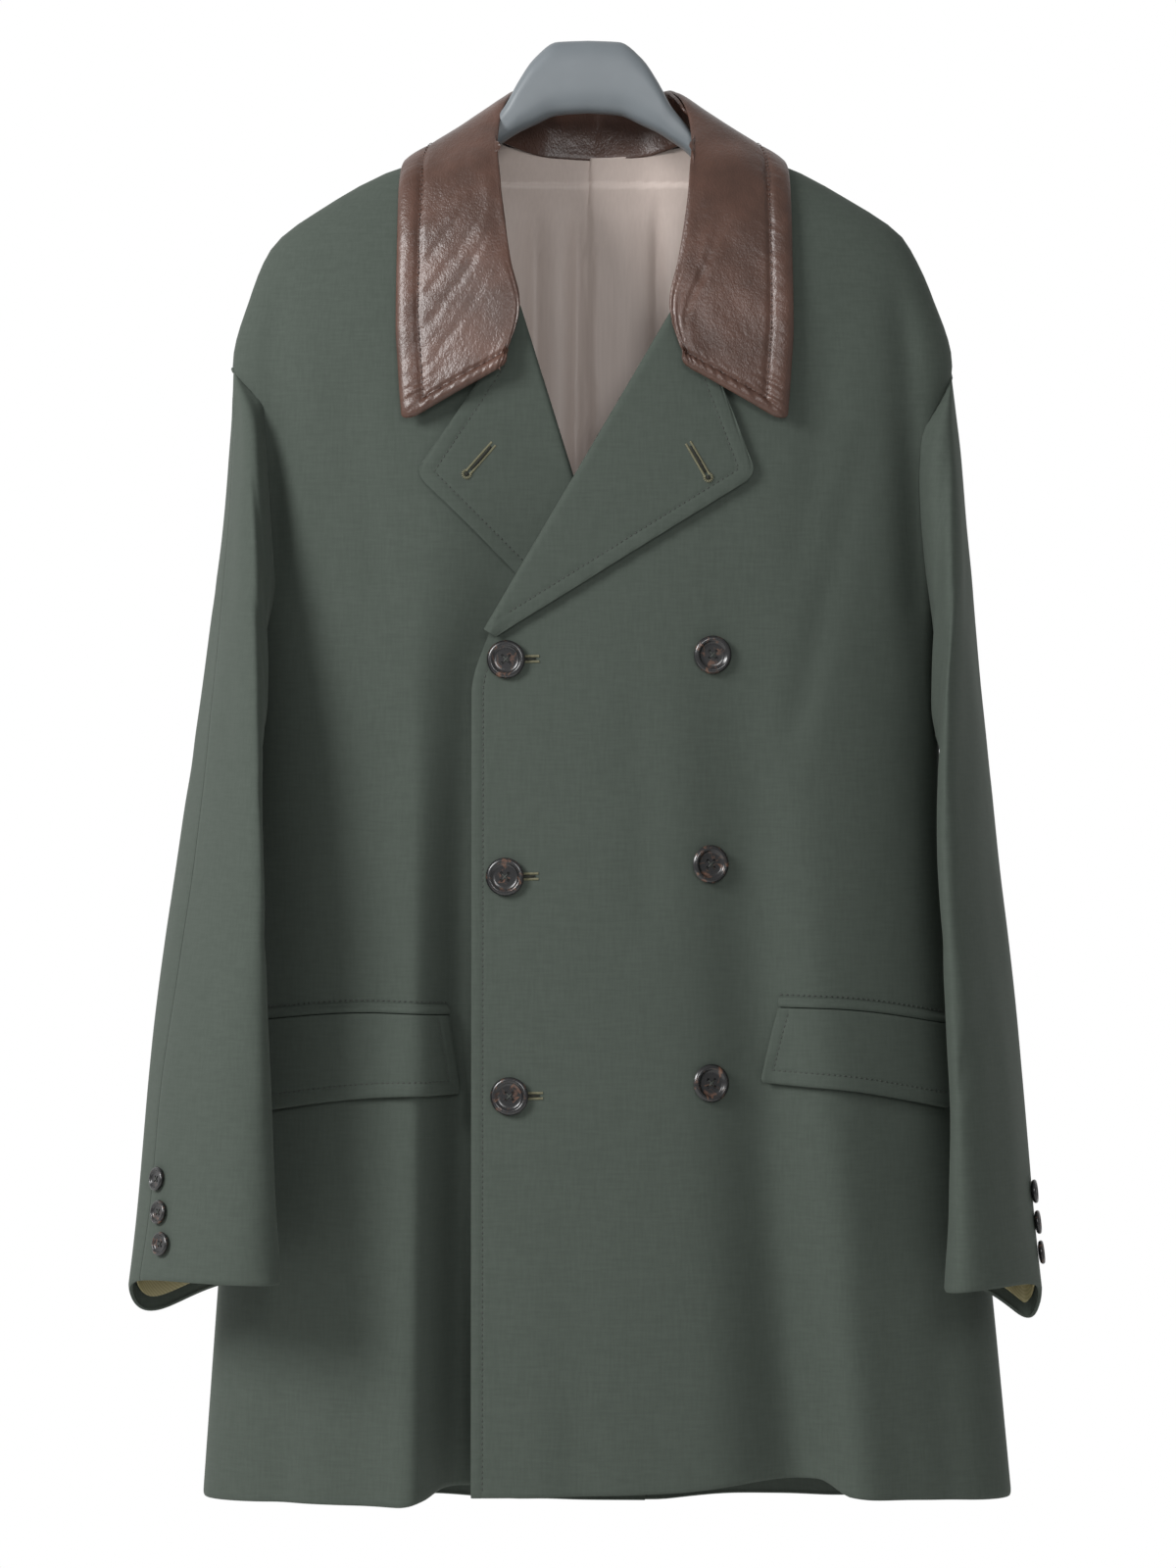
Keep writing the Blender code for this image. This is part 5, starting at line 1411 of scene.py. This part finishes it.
def add_button(name, place, out, diameter, thick, threads):
    """A turned button on its cloth: the rim is spun, the middle is filled round its four holes."""
    radius = diameter / 2
    dish = BUTTON_DISH * thick
    aside = BUTTON_HOLE_PLACE * radius
    bm = bmesh.new()
    verts = [bm.verts.new((radius * across, 0, thick * height)) for across, height in BUTTON_SECTION]
    edges = [bm.edges.new(pair) for pair in zip(verts, verts[1:])]
    bmesh.ops.spin(
        bm, geom=verts + edges, cent=(0, 0, 0), axis=(0, 0, 1), angle=2 * math.pi, steps=BUTTON_STEPS,
        use_merge=True,
    )
    rims = [edge for edge in bm.edges if edge.is_boundary]
    top = [edge for edge in rims if edge.verts[0].co.z > dish / 2]
    bmesh.ops.edgeloop_fill(bm, edges=[edge for edge in rims if edge not in top])
    holes = []
    for across, down in ((1, 1), (1, -1), (-1, -1), (-1, 1)):
        at = Matrix.Translation((across * aside, down * aside, dish))
        ring = bmesh.ops.create_circle(
            bm, segments=BUTTON_HOLE_SIDES, radius=BUTTON_HOLE_RADIUS * radius, matrix=at,
        )["verts"]
        holes += list({edge for vert in ring for edge in vert.link_edges})
    bmesh.ops.triangle_fill(bm, use_beauty=True, edges=top + holes)
    walls = bmesh.ops.extrude_edge_only(bm, edges=holes)["geom"]
    floors = [part for part in walls if isinstance(part, bmesh.types.BMVert)]
    bmesh.ops.translate(bm, verts=floors, vec=(0, 0, -BUTTON_HOLE_DEPTH * thick))
    bmesh.ops.edgeloop_fill(bm, edges=[edge for edge in bm.edges if edge.is_boundary])
    bmesh.ops.recalc_face_normals(bm, faces=bm.faces[:])
    seat = Matrix.Translation(place + out * SEAM) @ out.to_track_quat("Z", "Y").to_matrix().to_4x4()
    bmesh.ops.transform(bm, matrix=seat, verts=bm.verts[:])
    button = add_piece(f"horn_button_{name}", bm, horn, (f"button_{name}",))
    button.data.set_sharp_from_angle(angle=SHARP_ANGLE)
    for across in (-1, 1):
        start, end = (
            seat @ Vector((way * aside, way * across * aside, dish + CROSS_LIFT)) for way in (-1, 1)
        )
        reach = (end - start).length
        sew(threads, [(start, out), (end, out)], reach, reach, CROSS_THREAD * diameter)


threads = bmesh.new()
hole_threads = bmesh.new()
for button in FRONT_BUTTONS:
    place, out = lying_on(front_left_y, button.x, button.z, -button.sink)
    add_button(button.name, place, out, BUTTON_DIAMETER, BUTTON_THICK, threads)
    if button.name.startswith("fastened"):
        start_x, start_z = button.x + FRONT_HOLE_TAIL, button.z + FRONT_HOLE_RISE
        end, _ = lying_on(front_left_y, button.x, button.z, FRONT_HOLE_LIFT)
        start, out = lying_on(front_left_y, start_x, start_z, FRONT_HOLE_LIFT)
        sew_buttonhole(hole_threads, painted_shadow_fillings, start, end, out, FRONT_HOLE_WIDTH)


def cuff_place(rings, side, z, angle):
    """How far down the lower half of a sleeve a level is, along one angle."""
    def is_short(place):
        return sleeve_point(rings, side, place, angle).z > z

    return halve_to(0.5, 1.0, is_short, CUFF_HALVINGS)


for word, rings, side, levels, angles in (
    ("right", SLEEVE_RIGHT, -1, CUFF_BUTTON_Z_RIGHT, CUFF_BUTTON_ANGLES_RIGHT),
    ("left", SLEEVE_LEFT, 1, CUFF_BUTTON_Z_LEFT, CUFF_BUTTON_ANGLES_LEFT),
):
    for number, (z, angle) in enumerate(zip(levels, angles), 1):
        down = cuff_place(rings, side, z, angle)
        out = sleeve_out(rings, side, down, angle)
        place = sleeve_point(rings, side, down, angle)
        add_button(f"cuff_{word}_{number}", place, out, CUFF_BUTTON_DIAMETER, CUFF_BUTTON_THICK, threads)
add_piece("button_threads", threads, thread)
add_piece("front_buttonholes", hole_threads, twist)
# The buttonholes' dark fillings: painted shadow in the slits and eyes
add_piece("buttonhole_painted_shadows", painted_shadow_fillings, slit_shadow)

# The hanger: one bar of grey plastic that rises to a hump in the middle and slopes to both shoulders. It is
# moulded in one piece, and the coat hangs on its arms.
HANGER_SQUARENESS = 3.0
HANGER_SIDES = 56
HANGER_STATIONS = 140
HANGER_WELD = 0.00005

Bar = namedtuple("Bar", "x top_z low_z half_y")
HANGER = (
    Bar(0.000, 0.0000, -0.0440, 0.0110), Bar(0.019, -0.0008, -0.0455, 0.0110),
    Bar(0.033, -0.0110, -0.0515, 0.0112), Bar(0.0435, -0.0265, -0.0565, 0.0112),
    Bar(0.0505, -0.0395, -0.0610, 0.0106), Bar(0.058, -0.0490, -0.0660, 0.0104),
    Bar(0.066, -0.0590, -0.0740, 0.0110), Bar(0.076, -0.0675, -0.0845, 0.0120),
    Bar(0.092, -0.0735, -0.0940, 0.0130), Bar(0.115, -0.0840, -0.1070, 0.0140),
    Bar(0.140, -0.0950, -0.1180, 0.0150), Bar(0.164, -0.1100, -0.1300, 0.0160),
    Bar(0.178, -0.1230, -0.1380, 0.0150),
)


def hanger_point(row, column):
    """A point of the bar, whose section is an oval drawn out to rounded corners."""
    x = mix(-HANGER[-1].x, HANGER[-1].x, row / HANGER_STATIONS)
    bar = between(HANGER, abs(x))
    turn = 2 * math.pi * column / HANGER_SIDES
    ways = math.cos(turn), math.sin(turn)
    back, up = (math.copysign(abs(way) ** (2 / HANGER_SQUARENESS), way) for way in ways)
    return x, bar.half_y * back, mix(bar.low_z, bar.top_z, (1 + up) / 2)


# Moulded polypropylene: grey, matt from the mould's fine spark texture, with a soft broad shine. The texture
# is under 0.1 mm, so it is left to the roughness; a faint cloudiness of the melt is 25 mm.
MELT = 0.0250
polypropylene = new_material("grey_moulded_polypropylene")
coords = add_node(polypropylene, "TexCoord")["Object"]
melt = add_node(polypropylene, "TexNoise", Vector=coords, Scale=1 / MELT, Detail=2)["Fac"]
cast = add_node(
    polypropylene, "MixRGB", Fac=melt, Color1=linear("#5a6064"), Color2=linear("#666c70"),
)["Color"]
add_node(polypropylene, "Principled BSDF", Base_Color=cast, Roughness=0.46, IOR=1.49)

bm, _ = laid_grid(HANGER_STATIONS, HANGER_SIDES, hanger_point)
bmesh.ops.remove_doubles(bm, verts=bm.verts[:], dist=HANGER_WELD)
bmesh.ops.edgeloop_fill(bm, edges=[edge for edge in bm.edges if edge.is_boundary])
bmesh.ops.recalc_face_normals(bm, faces=bm.faces[:])
hanger = add_piece("moulded_hanger", bm, polypropylene, ("hanger",))
hanger.data.set_sharp_from_angle(angle=SHARP_ANGLE)

# The stage: a plain pale floor, a white surround that is dimmer towards the front, a large soft light from
# the front left, a weaker one from the front, and the camera straight in front at the height of the middle
# of the picture.
FLOOR_Z = -1.30
FLOOR_RADIUS = 1.7
PICTURE_MIDDLE_Z = -0.4548
CAMERA_AWAY = 3.2
CAMERA_LENS = 120
FRONT_GLOW = 0.45
GLOW_DIM_AT = -0.2
GLOW_FULL_AT = 0.7
GLOW_TURN = math.radians(28)
bm = bmesh.new()
bmesh.ops.create_circle(bm, cap_ends=True, segments=96, radius=FLOOR_RADIUS)
bmesh.ops.translate(bm, verts=bm.verts[:], vec=(0, 0, FLOOR_Z))
mesh = bpy.data.meshes.new("floor")
bm.to_mesh(mesh)
bm.free()
pale_floor = new_material("pale_floor_paint")
add_node(pale_floor, "Principled BSDF", Base_Color=linear("#e6e6e4"), Roughness=0.90)
mesh.materials.append(pale_floor)
floor = bpy.data.objects.new("floor", mesh)
bpy.context.scene.collection.objects.link(floor)

world = bpy.data.worlds.new("white_surround")
world.use_nodes = True
way = add_node(world, "TexCoord")["Generated"]
turned = add_node(world, "Mapping", Vector=way, Rotation=(0, 0, -GLOW_TURN))["Vector"]
depth = add_node(world, "SeparateXYZ", Vector=turned)["Y"]
glow = add_node(
    world, "MapRange", Value=depth, From_Min=GLOW_DIM_AT, From_Max=GLOW_FULL_AT,
    To_Min=FRONT_GLOW, To_Max=1.0,
)["Result"]
add_node(world, "Background", Color=linear("#ffffff"), Strength=glow)
bpy.context.scene.world = world
bpy.context.scene.view_settings.view_transform = "Standard"

Light = namedtuple("Light", "name x y z size watts")
for light in (
    Light("key", -1.9, -1.6, 0.7, 1.1, 82),
    Light("fill", 0.4, -3.0, 0.4, 0.8, 26),
):
    data = bpy.data.lights.new(light.name, "AREA")
    data.shape, data.size, data.energy = "DISK", light.size, light.watts
    lamp = bpy.data.objects.new(light.name, data)
    lamp.location = light.x, light.y, light.z
    aim = Vector((0, 0, PICTURE_MIDDLE_Z)) - lamp.location
    lamp.rotation_euler = aim.to_track_quat("-Z", "Y").to_euler()
    bpy.context.scene.collection.objects.link(lamp)

camera_data = bpy.data.cameras.new("camera")
camera_data.lens = CAMERA_LENS
camera = bpy.data.objects.new("camera", camera_data)
camera.location = 0, -CAMERA_AWAY, PICTURE_MIDDLE_Z
camera.rotation_euler = math.pi / 2, 0, 0
bpy.context.scene.collection.objects.link(camera)
bpy.context.scene.camera = camera
